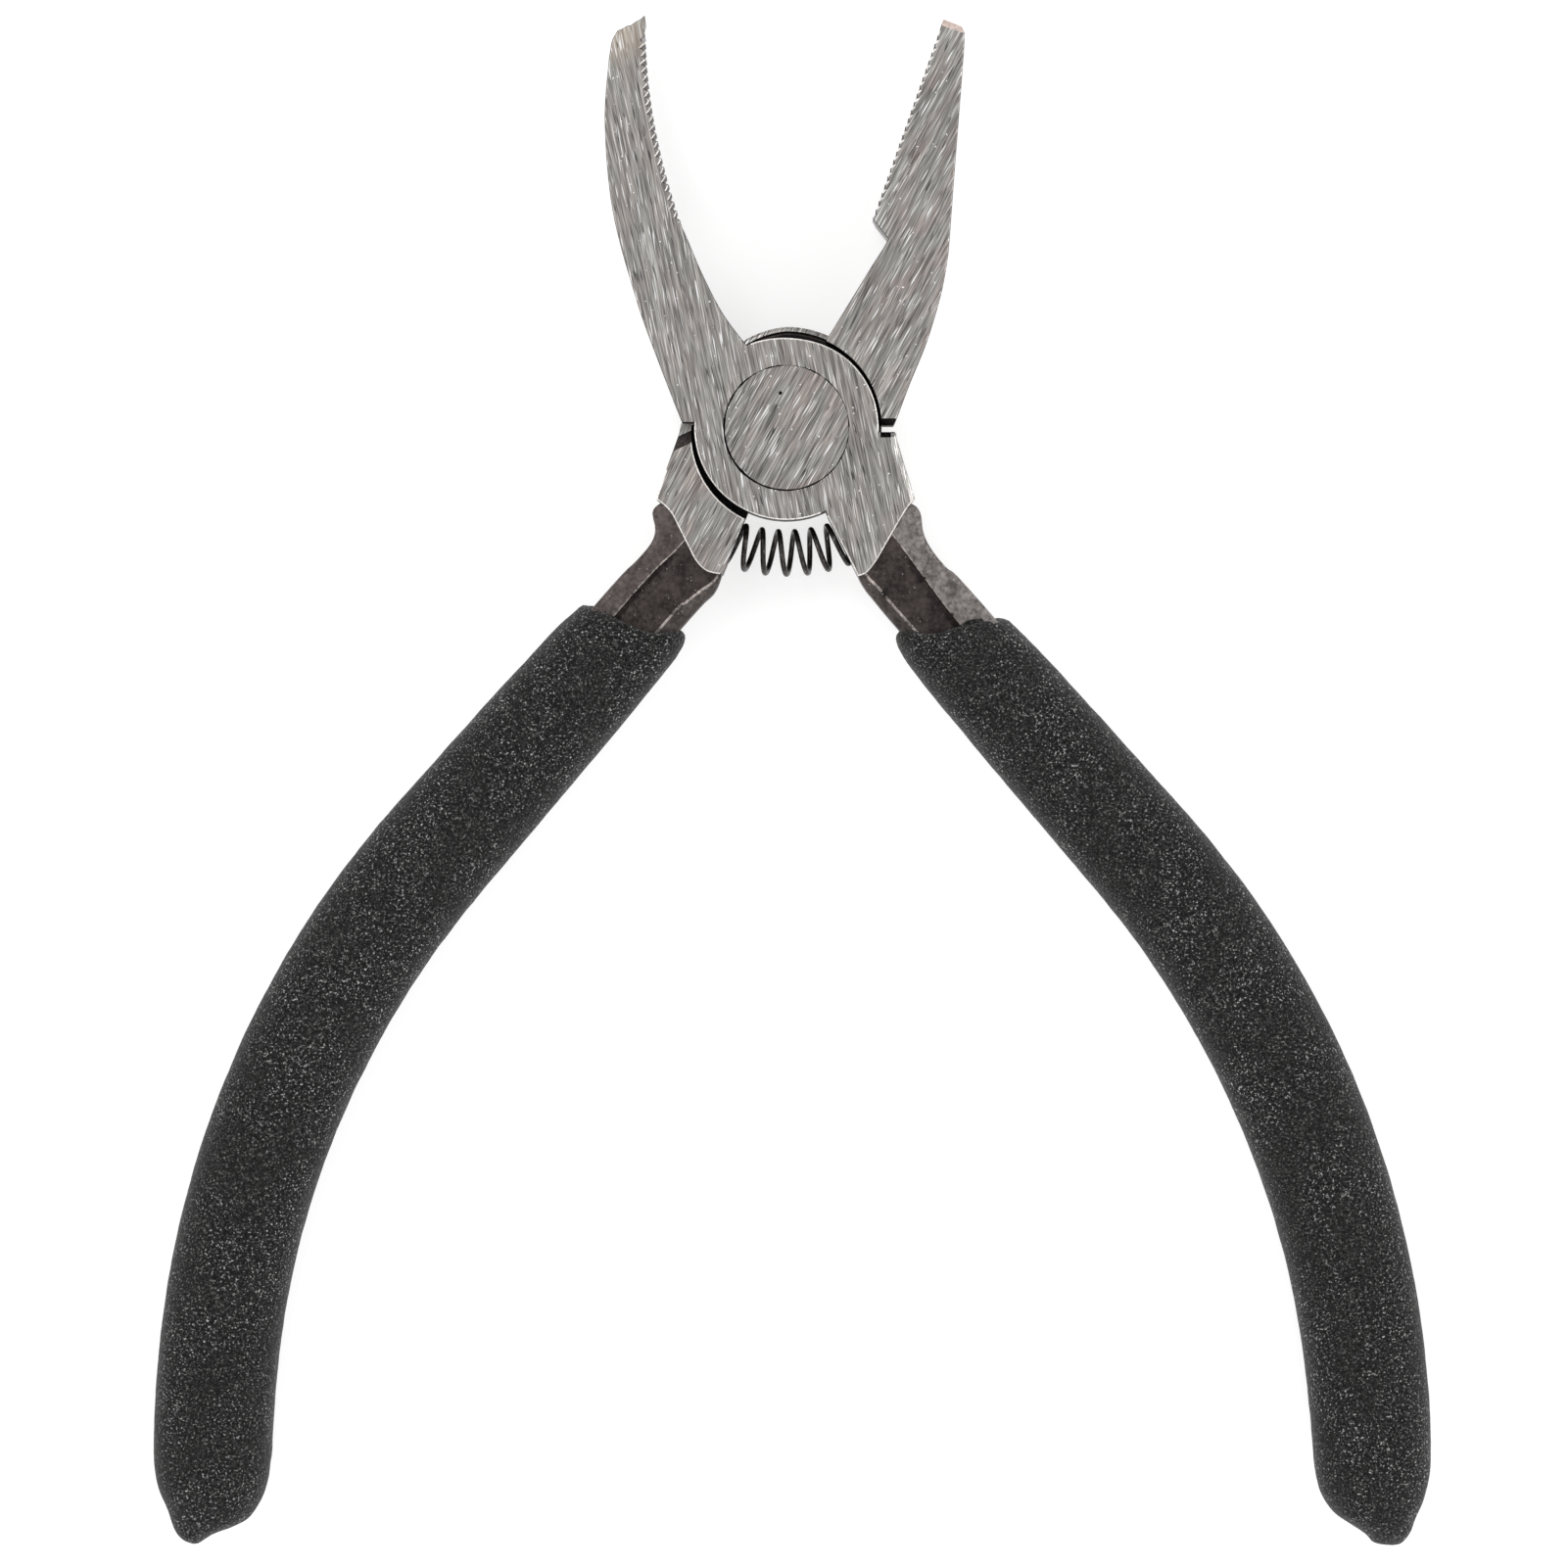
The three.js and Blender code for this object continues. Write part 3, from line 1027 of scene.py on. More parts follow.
@dataclass(frozen=True)
class Grip:
    """A sleeve of dipped foam: rolled mouth, full body, and a domed end with a hanging nose."""

    line: HandleLine
    name: str
    body: Body
    node: str
    outer: Rail
    inner: Rail
    depth: Rail
    mouth: Rail  # where the mouth is along the handle, by the distance across
    tang_outer: float = 4.1  # half the hollow's width, up to where it tapers
    tang_taper: float = 0.0103
    taper_start: float = 23.0
    tang_height: float = 3.86
    tang_corner: float = 0.35  # the power that squares the hollow's corners
    tang_stations: tuple[float, ...] = (116.3, 95.0, 75.0, 58.0, 45.0, 35.0)
    mouth_stations: tuple[float, ...] = (3.0, 1.0, 0.42)  # how far inside the mouth
    mouth_half: float = 5.0
    tip: float = 127.7
    dome: float = 118.0  # where the end starts to round off
    corner: float = 0.8  # the power that squares the body a little
    points_round: int = 96
    rings_along: int = 230
    crowding: float = 1.35  # how much closer the rings are towards the tip
    first_ring: float = 0.004
    body_length: float = 102.0  # from the mouth, near enough to start the rings after the rim
    rim: tuple[Point2, ...] = ((0.32, 1.45), (0.06, 1.10), (0.0, 0.72), (0.09, 0.36),
                               (0.32, 0.13), (0.65, 0.02), (1.1, -0.04), (1.7, 0.0))
    lumps: tuple[Point2, ...] = ((0.5, 0.045), (1.9, 0.022))  # how many to a mm, and how high

    def _turns(self) -> list[Point2]:
        """Gives the sine and the cosine of each point's angle round a ring."""
        turns = (2 * math.pi * index / self.points_round for index in range(self.points_round))
        return [(math.sin(turn), math.cos(turn)) for turn in turns]

    def _body_ring(self, share: float, inset: float, ahead: float) -> list[Point3]:
        """Makes one ring of the outside.

        Args:
            share: How far it is from the mouth, 0, to the tip, 1.
            inset: How far its points are drawn in.
            ahead: How much further along it lies, in millimetres.

        Returns:
            The ring's points.
        """
        made = []
        for side, rise in self._turns():
            start = self.mouth.at(self.mouth_half * side)
            along = start + (self.tip - start) * share + ahead
            high, low = self.outer.at(along), self.inner.at(along)
            half, middle = (high - low) / 2, (high + low) / 2
            domed = max(0.0, (along - self.dome) / (self.tip - self.dome))
            power = self.corner + (1 - self.corner) * domed
            across = middle + max(half - inset, 0.0) * squared(side, power)
            depth = max(self.depth.at(along + DEPTH_END - self.tip) - inset, 0.0)
            x, y = self.line.beside(along, across)
            made.append(self._lumpy(Vector((x, y, depth * squared(rise, power))),
                                    Vector((side, 0, rise))))
        return made

    def _lumpy(self, point: Vector, out: Vector) -> Point3:
        """Pushes a point of the skin in or out a little, by the foam's slight lumps.

        Args:
            point: The point.
            out: Which way is outwards, across the handle and up.

        Returns:
            Its new place.
        """
        push = sum(high * noise.noise(point * often) for often, high in self.lumps)
        turn = math.radians(self.line.angle) * self.line.side
        side = self.line.side * out.x
        return (point.x + side * math.cos(turn) * push, point.y + side * math.sin(turn) * push,
                point.z + out.z * push)

    def _tang_ring(self, place: Callable[[float], float]) -> list[Point3]:
        """Makes one ring of the hollow that the tang fills.

        Args:
            place: Gives how far along the handle a point is, from its side, -1 to 1.

        Returns:
            The ring's points.
        """
        made = []
        for side, rise in self._turns():
            along = place(side)
            half = self.tang_outer - self.tang_taper * max(along - self.taper_start, 0)
            x, y = self.line.beside(along, half * squared(side, self.tang_corner))
            made.append((x, y, self.tang_height * squared(rise, self.tang_corner)))
        return made

    def build(self, foam: bpy.types.Material) -> bpy.types.Object:
        """Args:
            foam: Its finish.

        Returns:
            The piece.
        """
        rings = [self._tang_ring(lambda _side: at) for at in self.tang_stations]
        rings += [self._tang_ring(lambda side: self.mouth.at(self.mouth_half * side) + inside)
                  for inside in self.mouth_stations]
        rings += [self._body_ring(0.0, inset, ahead) for ahead, inset in self.rim]
        first = self.rim[-1][0] / self.body_length
        for t in np.linspace(self.first_ring, 1, self.rings_along)[:-1]:
            share = first + (1 - first) * (1 - (1 - t) ** self.crowding)
            rings.append(self._body_ring(share, 0.0, 0.0))
        piece = shown(self.name, wrapped(rings), [foam])
        sharpened(piece, 60)
        placed(piece, self.body, Slot.FOAM, self.node)
        return piece


# ---------------------------------------------------------------- head


@dataclass(frozen=True)
class Head:
    """What both halves of the head share."""

    face: float = 4.7  # height of the ground faces
    lap: float = 0.05
    hub: float = 9.0
    edge: float = 0.13  # how far the ground edges are broken
    edge_steps: int = 3
    shaded_steps: int = 2  # of them, from the side, painted dark as shade
    sharpest: float = 0.6  # keeps a sharp corner's broken edge from reaching too far
    foot_top: float = -6.85  # where a shoulder ends and its foot's edge starts
    foot_inside: float = 6.5
    rivet: float = 6.1
    rivet_gap: float = 0.015
    shank: float = 3.5
    foot: float = 4.6
    foot_height: float = 1.1
    round_steps: int = 180  # of the rivet and of its hole
    crease: float = 38.0  # edges that turn further than this, in degrees, stay sharp
    seam_turn: float = 215.0  # where the rivet's seam is widest, in degrees
    seam_lean: float = 0.13  # how much wider it is there
    seam_broken: float = 0.10  # how much its width varies

    def seam_width(self, turn: float) -> float:
        """Gives how far the seam round the rivet's head is open.

        Args:
            turn: The angle round the pivot, in radians.

        Returns:
            The seam's width.
        """
        lean = 0.5 + 0.5 * math.cos(turn - math.radians(self.seam_turn))
        where = Vector((7 * math.cos(turn), 7 * math.sin(turn), 0.0))
        broken = 0.5 + noise.noise(where * 0.9) + 0.6 * noise.noise(where * 2.6)
        return max(0.0, self.seam_lean * lean * lean + self.seam_broken * broken)


HEAD = Head()


@dataclass(frozen=True)
class Facet:
    """A sloping facet ground along an edge of the face, with a level shelf at its foot."""

    start: Point2  # of its foot in plan, with the metal on the right on the way to the end
    end: Point2
    width: float  # how far it reaches into the ground face
    drop: float  # how far below the ground face its foot is
    over: float  # how far the wedge that cuts it runs past both ends
    slope: bpy.types.Material
    shelf: bpy.types.Material
    reach: float = 3.0  # how far out the shelf runs

    def tool(self) -> bpy.types.Object:
        """Makes the wedge that cuts it.

        Returns:
            The wedge.
        """
        (x0, y0), (x1, y1) = self.start, self.end
        along = Vector((x1 - x0, y1 - y0)).normalized()
        inward = Vector((along.y, -along.x))
        top, drop, reach = HEAD.face, self.drop, self.reach
        section = ((self.width * 2, top + drop), (0.0, top - drop), (-reach, top - drop),
                   (-reach, top + drop))
        caps = []
        for corner, push in ((self.start, -self.over), (self.end, self.over)):
            foot = Vector(corner) + along * push
            caps.append([(*(foot + inward * x), z) for x, z in section])
        mesh = wrapped(caps, lambda _row, index: int(index == 1))
        return shown("facet", mesh, [self.slope, self.shelf])


@dataclass(frozen=True)
class Chain:
    """A jaw or a shoulder in plan: the outline beside the hub, clockwise.

    The whole stretch bounds both levels. The lead and the tail bound only the hub's level, and
    the wall closes the other level round the other half's hub.
    """

    lead: list[Point2]
    whole: list[Point2]
    tail: list[Point2]
    wall: list[Point2]

    @classmethod
    def cut(cls, track: Track, keep: Callable[[Point2], bool],
            wall: Callable[[Point2, Point2], list[Point2]]) -> "Chain":
        """Cuts an outline into its stretches.

        Args:
            track: The outline, clockwise, from inside the hub and back into it.
            keep: Tells which points bound both levels.
            wall: Gives the wall's points, from the whole stretch's last point to its first.

        Returns:
            The chain.
        """
        low, high = track.kept(outside(HEAD.hub))
        start, end = track.kept(keep)
        return cls(track.part(low, start)[:-1], track.part(start, end),
                   track.part(end, high)[1:], wall(track.at(end), track.at(start)))


class LappedPlate:
    """One half of the head: a jaw and a shoulder, both full thickness, and a hub half as thick."""

    def __init__(self, jaw: Chain, shoulder: Chain, crests: Iterable[Point2]) -> None:
        """Starts an empty mesh.

        Args:
            jaw: The jaw's outline.
            shoulder: The shoulder's outline.
            crests: The crests of the jaw's teeth.
        """
        self.jaw, self.shoulder = jaw, shoulder
        self.crests = set(crests)
        self.mesh = bmesh.new()

    @staticmethod
    def _insets(loop: Sequence[Point2]) -> list[Point2]:
        """Finds which way each corner of a loop is drawn in.

        Args:
            loop: The outline, clockwise.

        Returns:
            How far each corner moves for an inset of 1, limited at sharp corners.
        """
        made = []
        count = len(loop)
        for index in range(count):
            before, here, after = loop[index - 1], loop[index], loop[(index + 1) % count]
            a = (Vector(here) - Vector(before)).normalized()
            b = (Vector(after) - Vector(here)).normalized()
            inner_a, inner_b = Vector((a.y, -a.x)), Vector((b.y, -b.x))
            push = (inner_a + inner_b) / max(1 + inner_a.dot(inner_b), HEAD.sharpest)
            made.append((push.x, push.y))
        return made

    def _broken_edge(self, loop: Sequence[Point2], side: int, highlit: Collection[int]
                     ) -> list[bmesh.types.BMVert]:
        """Closes a loop with a flat face whose edge is broken.

        Args:
            loop: The outline, clockwise.
            side: 1 for the upper face, -1 for the lower.
            highlit: The corners whose broken edge gets a painted highlight. A foot's and a
            tooth's always do.

        Returns:
            The ring where the broken edge meets the wall.
        """
        pushes = self._insets(loop)
        rings = []
        for step in range(HEAD.edge_steps + 1):
            turn = math.pi / 2 * step / HEAD.edge_steps
            inset = HEAD.edge * (1 - math.cos(turn))
            height = HEAD.face - HEAD.edge * (1 - math.sin(turn))
            rings.append([
                self.mesh.verts.new((x + px * inset, y + py * inset, side * height))
                for (x, y), (px, py) in zip(loop, pushes)
            ])
        count = len(loop)
        for step, (low, high) in enumerate(zip(rings, rings[1:])):
            for index in range(count):
                ahead = (index + 1) % count
                face = self.mesh.faces.new((low[index], low[ahead], high[ahead], high[index]))
                # The chosen corners, the teeth's crests and the feet take a painted highlight.
                if index in highlit or self._highlit(loop[index]):
                    face.material_index = PlateFinish.RUBBED
                # The steps nearest the side take the dark web finish as painted shade.
                elif step < HEAD.shaded_steps:
                    face.material_index = PlateFinish.WEB
        self.mesh.faces.new(rings[-1])
        return rings[0]

    def _level(self, arcs: Sequence[list[Point2]]
               ) -> tuple[list[Point2], set[int], list[tuple[int, int]]]:
        """Runs round the hub's level.

        Args:
            arcs: The hub's rim from the jaw to the shoulder, and from there to the jaw.

        Returns:
            The outline, the places of the hub's rim in it, and where in it each chain's whole
            stretch starts and ends.
        """
        loop: list[Point2] = []
        rims: set[int] = set()
        spans = []
        for chain, rim in zip((self.jaw, self.shoulder), arcs):
            loop += chain.lead
            spans.append((len(loop), len(loop) + len(chain.whole) - 1))
            loop += [*chain.whole, *chain.tail, *rim]
            rims.update(range(len(loop) - len(rim), len(loop)))
        return loop, rims, spans

    def _lower(self, chain: Chain, ends: tuple[bmesh.types.BMVert, bmesh.types.BMVert]
               ) -> tuple[list[bmesh.types.BMVert], list[bmesh.types.BMVert]]:
        """Builds the lower face of a jaw or a shoulder and its wall round the other hub.

        Args:
            chain: The jaw or the shoulder.
            ends: The corners at the lap's height where its whole stretch starts and ends.

        Returns:
            The lower face's corners below the whole stretch, and the wall's upper corners.
        """
        size = len(chain.whole)
        # The edge along the shoulder's wall takes a painted highlight.
        walled = range(size - 1, size + len(chain.wall)) if chain is self.shoulder else ()
        ring = self._broken_edge([*chain.whole, *chain.wall], -1, walled)
        between = [self.mesh.verts.new((x, y, HEAD.lap)) for x, y in chain.wall]
        seam = [ends[1], *between, ends[0]]
        under = [*ring[size - 1:], ring[0]]
        for i in range(len(seam) - 1):
            self._dark((seam[i], seam[i + 1], under[i + 1], under[i]))
        return ring[:size], seam

    def build(self, arcs: Sequence[list[Point2]]) -> bmesh.types.BMesh:
        """Builds the half with its hub on top.

        Args:
            arcs: The hub's rim from the jaw to the shoulder, and from there to the jaw.

        Returns:
            The closed mesh, its faces numbered by PlateFinish.
        """
        loop, rims, spans = self._level(arcs)
        count = len(loop)
        # The hub's rim takes a painted highlight along its broken edge.
        top = self._broken_edge(loop, 1, rims)
        in_whole = {i for low, high in spans for i in range(low, high)}
        starts = {low for low, _ in spans}
        lap = {i: self.mesh.verts.new((*loop[i], HEAD.lap)) for i in range(count)
               if i not in in_whole or i in starts}
        foot = {}
        walls = []
        for (low, high), chain in zip(spans, (self.jaw, self.shoulder)):
            below, seam = self._lower(chain, (lap[low], lap[high]))
            foot.update({low + i: corner for i, corner in enumerate(below)})
            walls.append(seam)
        for i in range(count):
            ahead = (i + 1) % count
            if i in in_whole:
                corners = [top[i], top[ahead], lap.get(ahead), foot[ahead], foot[i], lap.get(i)]
                face = self.mesh.faces.new([corner for corner in corners if corner])
                # A tooth's walls take the dark web finish as painted shadow.
                tooth = not self.crests.isdisjoint((loop[i], loop[ahead]))
                face.material_index = PlateFinish.WEB if tooth else PlateFinish.SIDE
            else:
                self._dark((top[i], top[ahead], lap[ahead], lap[i]))
        (jaw_low, jaw_high), (shoulder_low, shoulder_high) = spans
        under_hub = [lap[i] for i in range(jaw_high, shoulder_low)]
        under_hub += walls[1][:0:-1]
        under_hub += [lap[i % count] for i in range(shoulder_high, count + jaw_low)]
        under_hub += walls[0][:0:-1]
        self._dark(under_hub)
        return self.mesh

    def _highlit(self, point: Point2) -> bool:
        """Tells whether a corner's edge gets a painted highlight: on a tooth's crest or on a
        shoulder's edge above a neck.
        """
        on_foot = point[1] < HEAD.foot_top and abs(point[0]) > HEAD.foot_inside
        return on_foot or point in self.crests

    def _dark(self, corners: Sequence[bmesh.types.BMVert]) -> None:
        """Adds a face that no belt has reached."""
        self.mesh.faces.new(corners).material_index = PlateFinish.OXIDE


@dataclass(frozen=True)
class SpringPath:
    """The return spring: a close coil bent round between the shoulders."""

    arc_radius: float = 16.15
    arc_rise: float = 4.0
    half_angle: float = 18.8
    seated: float = 2.7
    coil: float = 2.09
    wire: float = 0.265
    pitch: float = 1.84
    steps: int = 40
    wire_points: int = 12
    seat_radius: float = 2.5
    seat_depth: float = 3.1
    seat_lead: float = 1.2
    drill_point: float = 0.4
    drill_cone: float = 0.7
    blend_reach: float = 10.9
    probe: float = 0.005  # how far to each side the wire's direction is read
    cut_end: float = 0.72  # how thick the wire is at its cut ends, as a share

    def centre(self, along: float) -> Point3:
        """Gives the middle of the coil at a place.

        Args:
            along: How far along the coil it is from the spring's middle.

        Returns:
            The point in plan, and how far the coil has turned there, in radians.
        """
        half = math.radians(self.half_angle) * self.arc_radius
        on_arc = max(-half, min(half, along))
        turned = on_arc / self.arc_radius
        beyond = along - on_arc
        x = self.arc_radius * math.sin(turned) + beyond * math.cos(turned)
        y = self.arc_rise - self.arc_radius * math.cos(turned) + beyond * math.sin(turned)
        return x, y, turned

    def _wire_point(self, along: float) -> Vector:
        """Gives the middle of the wire at a place.

        Args:
            along: How far along the coil it is from the spring's middle.

        Returns:
            The point.
        """
        x, y, turned = self.centre(along)
        coil = 2 * math.pi * along / self.pitch
        out = self.coil * math.cos(coil)
        return Vector((x + out * math.sin(turned), y - out * math.cos(turned),
                       -self.coil * math.sin(coil)))

    def build(self, finish: bpy.types.Material) -> bpy.types.Object:
        """Args:
            finish: Its finish.

        Returns:
            The piece.
        """
        half = math.radians(self.half_angle) * self.arc_radius + self.seated
        count = round(2 * half / self.pitch * self.steps)
        rings = []
        for step in range(count + 1):
            along = -half + 2 * half * step / count
            here = self._wire_point(along)
            ahead = self._wire_point(along + self.probe) - self._wire_point(along - self.probe)
            ahead.normalize()
            x, y, _ = self.centre(along)
            side = ahead.cross(here - Vector((x, y, 0))).normalized()
            up = side.cross(ahead).normalized()
            wire = self.wire * (self.cut_end if step in (0, count) else 1.0)
            rings.append([
                tuple(here + wire * (math.cos(t) * up + math.sin(t) * side))
                for t in (2 * math.pi * i / self.wire_points for i in range(self.wire_points))
            ])
        piece = shown("return_coil", wrapped(rings), [finish])
        sharpened(piece, 50)
        into_frame(piece)
        ends = [PIVOT + METRE * Vector((sign * self.blend_reach, self.centre(0.0)[1], 0.0))
                for sign in (-1, 1)]
        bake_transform(piece)
        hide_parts("return_spring")
        log.info("%s: %d faces between the handles", piece.name, len(piece.data.polygons))
        return piece

    def seat(self, side: int, finish: bpy.types.Material) -> bpy.types.Object:
        """Makes the drill that sinks one end's seat into a shoulder.

        Args:
            side: 1 for the right shoulder, -1 for the left.
            finish: The seat's finish.

        Returns:
            The drill.
        """
        half = math.radians(self.half_angle) * self.arc_radius
        x, y, turned = self.centre(side * half)
        lead, deep, radius = -self.seat_lead, self.seat_depth, self.seat_radius
        tool = turned_round(((radius, lead), (radius, deep),
                             (self.drill_point, deep + self.drill_cone)), 48)
        turn = Matrix.Rotation(turned, 4, "Z") @ Matrix.Rotation(side * math.pi / 2, 4, "Y")
        tool.transform(Matrix.Translation((x, y, 0)) @ turn)
        return shown("seat_drill", tool, [finish])


SPRING = SpringPath()


def darken(mesh: bmesh.types.BMesh, low: float, high: float) -> None:
    """Gives the second finish to the faces whose middle lies between two heights.

    Args:
        mesh: The mesh.
        low: The lower height.
        high: The upper one.
    """
    for face in mesh.faces:
        if low < face.calc_center_median().z < high:
            face.material_index = 1


def rivet_room(finish: bpy.types.Material, oxide: bpy.types.Material) -> bpy.types.Object:
    """Makes the stepped hole that the rivet sits in.

    Args:
        finish: Its finish.
        oxide: The finish of its rim, which flares.

    Returns:
        The shape to cut away.
    """
    gap, face = HEAD.rivet_gap, HEAD.face
    reach, foot, flare = HEAD.rivet + gap, HEAD.foot + gap + 0.1, 0.2
    straight = (
        (foot, -face - 1), (foot, -face), (HEAD.shank + gap, -face + HEAD.foot_height),
        (HEAD.shank + gap, -gap), (reach, -gap), (reach, face - flare),
    )
    tool = turned_round(
        (*straight, (reach, face), (reach, face + 1)), HEAD.round_steps,
        lambda turn, row: 0.5 * HEAD.seam_width(turn) if row >= len(straight) else 0.0)
    darken(tool, face - 0.19, face + 0.1)
    return shown("rivet_room", tool, [finish, oxide])


@dataclass(frozen=True)
class Half:
    """What both halves do alike, from the neck's joint to the last cut."""

    line: HandleLine
    name: str
    node: str
    body: Body

    def _finished(self, plate: bmesh.types.BMesh, ground: bpy.types.Material, forged: ForgedSet,
                  parts: Iterable[bpy.types.Object], facets: Iterable[Facet]
                  ) -> bpy.types.Object:
        """Args:
            plate: Its jaw, hub and shoulder.
            ground: The finish of its ground faces.
            forged: The finishes of what isn't ground.
            parts: What is joined to it, the neck first.
            facets: What is ground off its face.

        Returns:
            The piece.
        """
        piece = shown(self.name, plate, forged.plate(ground))
        for part in parts:
            fitted(piece, part, Fit.JOIN)
        for facet in facets:
            fitted(piece, facet.tool(), Fit.CUT)
        fitted(piece, rivet_room(ground, forged.oxide), Fit.CUT)
        fitted(piece, SPRING.seat(self.line.side, ground), Fit.CUT)
        sharpened(piece, HEAD.crease)
        return placed(piece, self.body, Slot.STEEL, self.node)


@dataclass(frozen=True)
class FrontHalf(Half):
    """The half that laps in front: curved jaw on the left, right shoulder and handle."""

    line: HandleLine = HandleLine(side=1, start=-1.0, angle=41.05, straight=54.3, bend=92.6)
    name: str = "front_pliers_half"
    node: str = "front_half"
    body: Body = Body.FRONT
    jaw_outside: tuple[Point2, ...] = ((-10.2, 0.5), (-12.6, 6.7), (-14.8, 12.9), (-17.0, 21.3),
                                       (-17.75, 29.8), (-17.35, 36.0))
    hook: tuple[Point2, ...] = ((-17.1, 37.6), (-16.95, 38.05), (-16.85, 38.2), (-16.5, 38.8),
                                (-16.1, 38.95), (-15.5, 39.3), (-15.2, 39.32), (-14.7, 39.7),
                                (-14.3, 39.9), (-13.85, 40.3), (-13.75, 39.7), (-13.95, 39.1),
                                (-13.8, 38.3))
    bite: tuple[Point2, Point2, Point2] = ((-13.8, 38.3), (-13.65, 29.9), (-10.4, 20.3))
    throat: tuple[Point2, ...] = ((-10.4, 20.3), (-10.2, 19.6), (-9.7, 18.5), (-8.3, 15.2),
                                  (-6.3, 11.3), (-4.1, 8.3))
    teeth: Teeth = Teeth(22, 0.50)
    crown_room: float = 10.2
    ledge_relief: float = 2.0
    shoulder: tuple[Point2, ...] = ((2.0, -4.0), (8.7, -0.4), (10.55, -0.4), (10.72, -0.6),
                                    (10.75, -1.0), (11.35, -3.0), (12.55, -6.9))
    foot: tuple[Point2, ...] = ((12.55, -6.9), (11.7, -8.0), (10.6, -9.85), (9.4, -11.95),
                                (8.75, -13.05), (7.85, -14.15), (7.0, -14.5))
    inside: Point2 = (4.0, -8.6)
    shoulder_wall: float = 9.5
    flat: float = 0.026  # how much of the rim is ground off at most, as a share
    flat_middle: float = 84.0
    flat_spread: float = 26.0
    lean_facet: tuple[Point2, Point2] = ((10.72, -1.0), (12.5, -6.9))
    ledge_facet: tuple[Point2, Point2] = ((9.3, -0.4), (10.1, -0.4))

    def _bite(self) -> list[Point2]:
        """Gives the hollow, toothed bite, gullet and crest in turn."""
        return self.teeth.along(lambda t: bowed(*self.bite, t))

    def _chains(self) -> tuple[Chain, Chain]:
        """Lays out the jaw and the shoulder.

        Returns:
            Their outlines.
        """
        jaw = Track(((-2.0, 0.5), *through(self.jaw_outside), *self.hook, *self._bite(),
                     *through(self.throat)[1:], (-2.0, 5.0)))
        shoulder = Track((*self.shoulder, *through(self.foot)[1:], self.inside, (2.0, -4.0)))
        beside_crown = outside(self.crown_room)
        room, turn = self.crown_room, math.asin(self.ledge_relief / self.crown_room)
        step = math.degrees(turn)
        corner = (-room * math.cos(math.radians(step)), self.ledge_relief)
        return (
            Chain.cut(jaw, lambda p: beside_crown(p) and p[1] > self.ledge_relief,
                      lambda a, _b: [*arc((0, 0), room, angle_of(a), 180 - step), corner]),
            Chain.cut(shoulder, outside(self.shoulder_wall),
                      lambda a, b: arc((0, 0), self.shoulder_wall, angle_of(a), angle_of(b))),
        )

    def _flattened(self, rim: Sequence[Point2]) -> list[Point2]:
        """Draws in the top of the hub's rim, where it was ground a little flat.

        Args:
            rim: The rim's points.

        Returns:
            Their new places.
        """
        made = []
        for x, y in rim:
            away = (angle_of((x, y)) - self.flat_middle) / self.flat_spread
            shrink = 1 - self.flat * math.exp(-away * away)
            made.append((x * shrink, y * shrink))
        return made

    def _neck(self) -> Neck:
        """Gives the neck.

        Returns:
            The neck with its rails.
        """
        return Neck(
            self.line,
            outer=Rail(((13, 4.4), (14.6, 5.25), (15.7, 5.1), (17.07, 4.2), (18.74, 3.7),
                        (21.2, 3.6), (24, 3.9), (40, 3.8), (117, 3.0))),
            ridge=Rail(((13, 1.8), (16, 1.68), (18.6, 1.5), (22.3, 1.18), (26.6, 0.97),
                        (40, 0.9), (117, 0.8))),
            chamfer=Rail(((13, -0.9), (16, -2.7), (18.5, -2.75), (20.6, -2.8), (26, -2.75),
                          (117, -2.0))),
            inner=Rail(((13, -1.6), (14.5, -2.4), (16.0, -3.4), (17.5, -3.78), (19.1, -3.85),
                        (23, -3.92), (40, -3.8), (117, -3.0))),
        )

    def build(self, ground: bpy.types.Material, forged: ForgedSet) -> bpy.types.Object:
        """Args:
            ground: The finish of its ground faces.
            forged: The finishes of what isn't ground.

        Returns:
            The piece.
        """
        jaw, shoulder = self._chains()
        right = self._flattened(
            arc((0, 0), HEAD.hub, angle_of(jaw.tail[-1]), angle_of(shoulder.lead[0])))
        left = arc((0, 0), HEAD.hub, angle_of(shoulder.tail[-1]), angle_of(jaw.lead[0]) - 360)
        plate = LappedPlate(jaw, shoulder, self._bite()[1::2]).build((right, left))
        oxide = forged.oxide
        return self._finished(
            plate, ground, forged, (shown("neck", self._neck().mesh(), forged.neck()),), (
                Facet(*self.lean_facet, 0.5, 0.26, 0.2, ground, ground),
                Facet(*self.ledge_facet, 0.55, 0.9, 0.12, oxide, oxide),
            ))


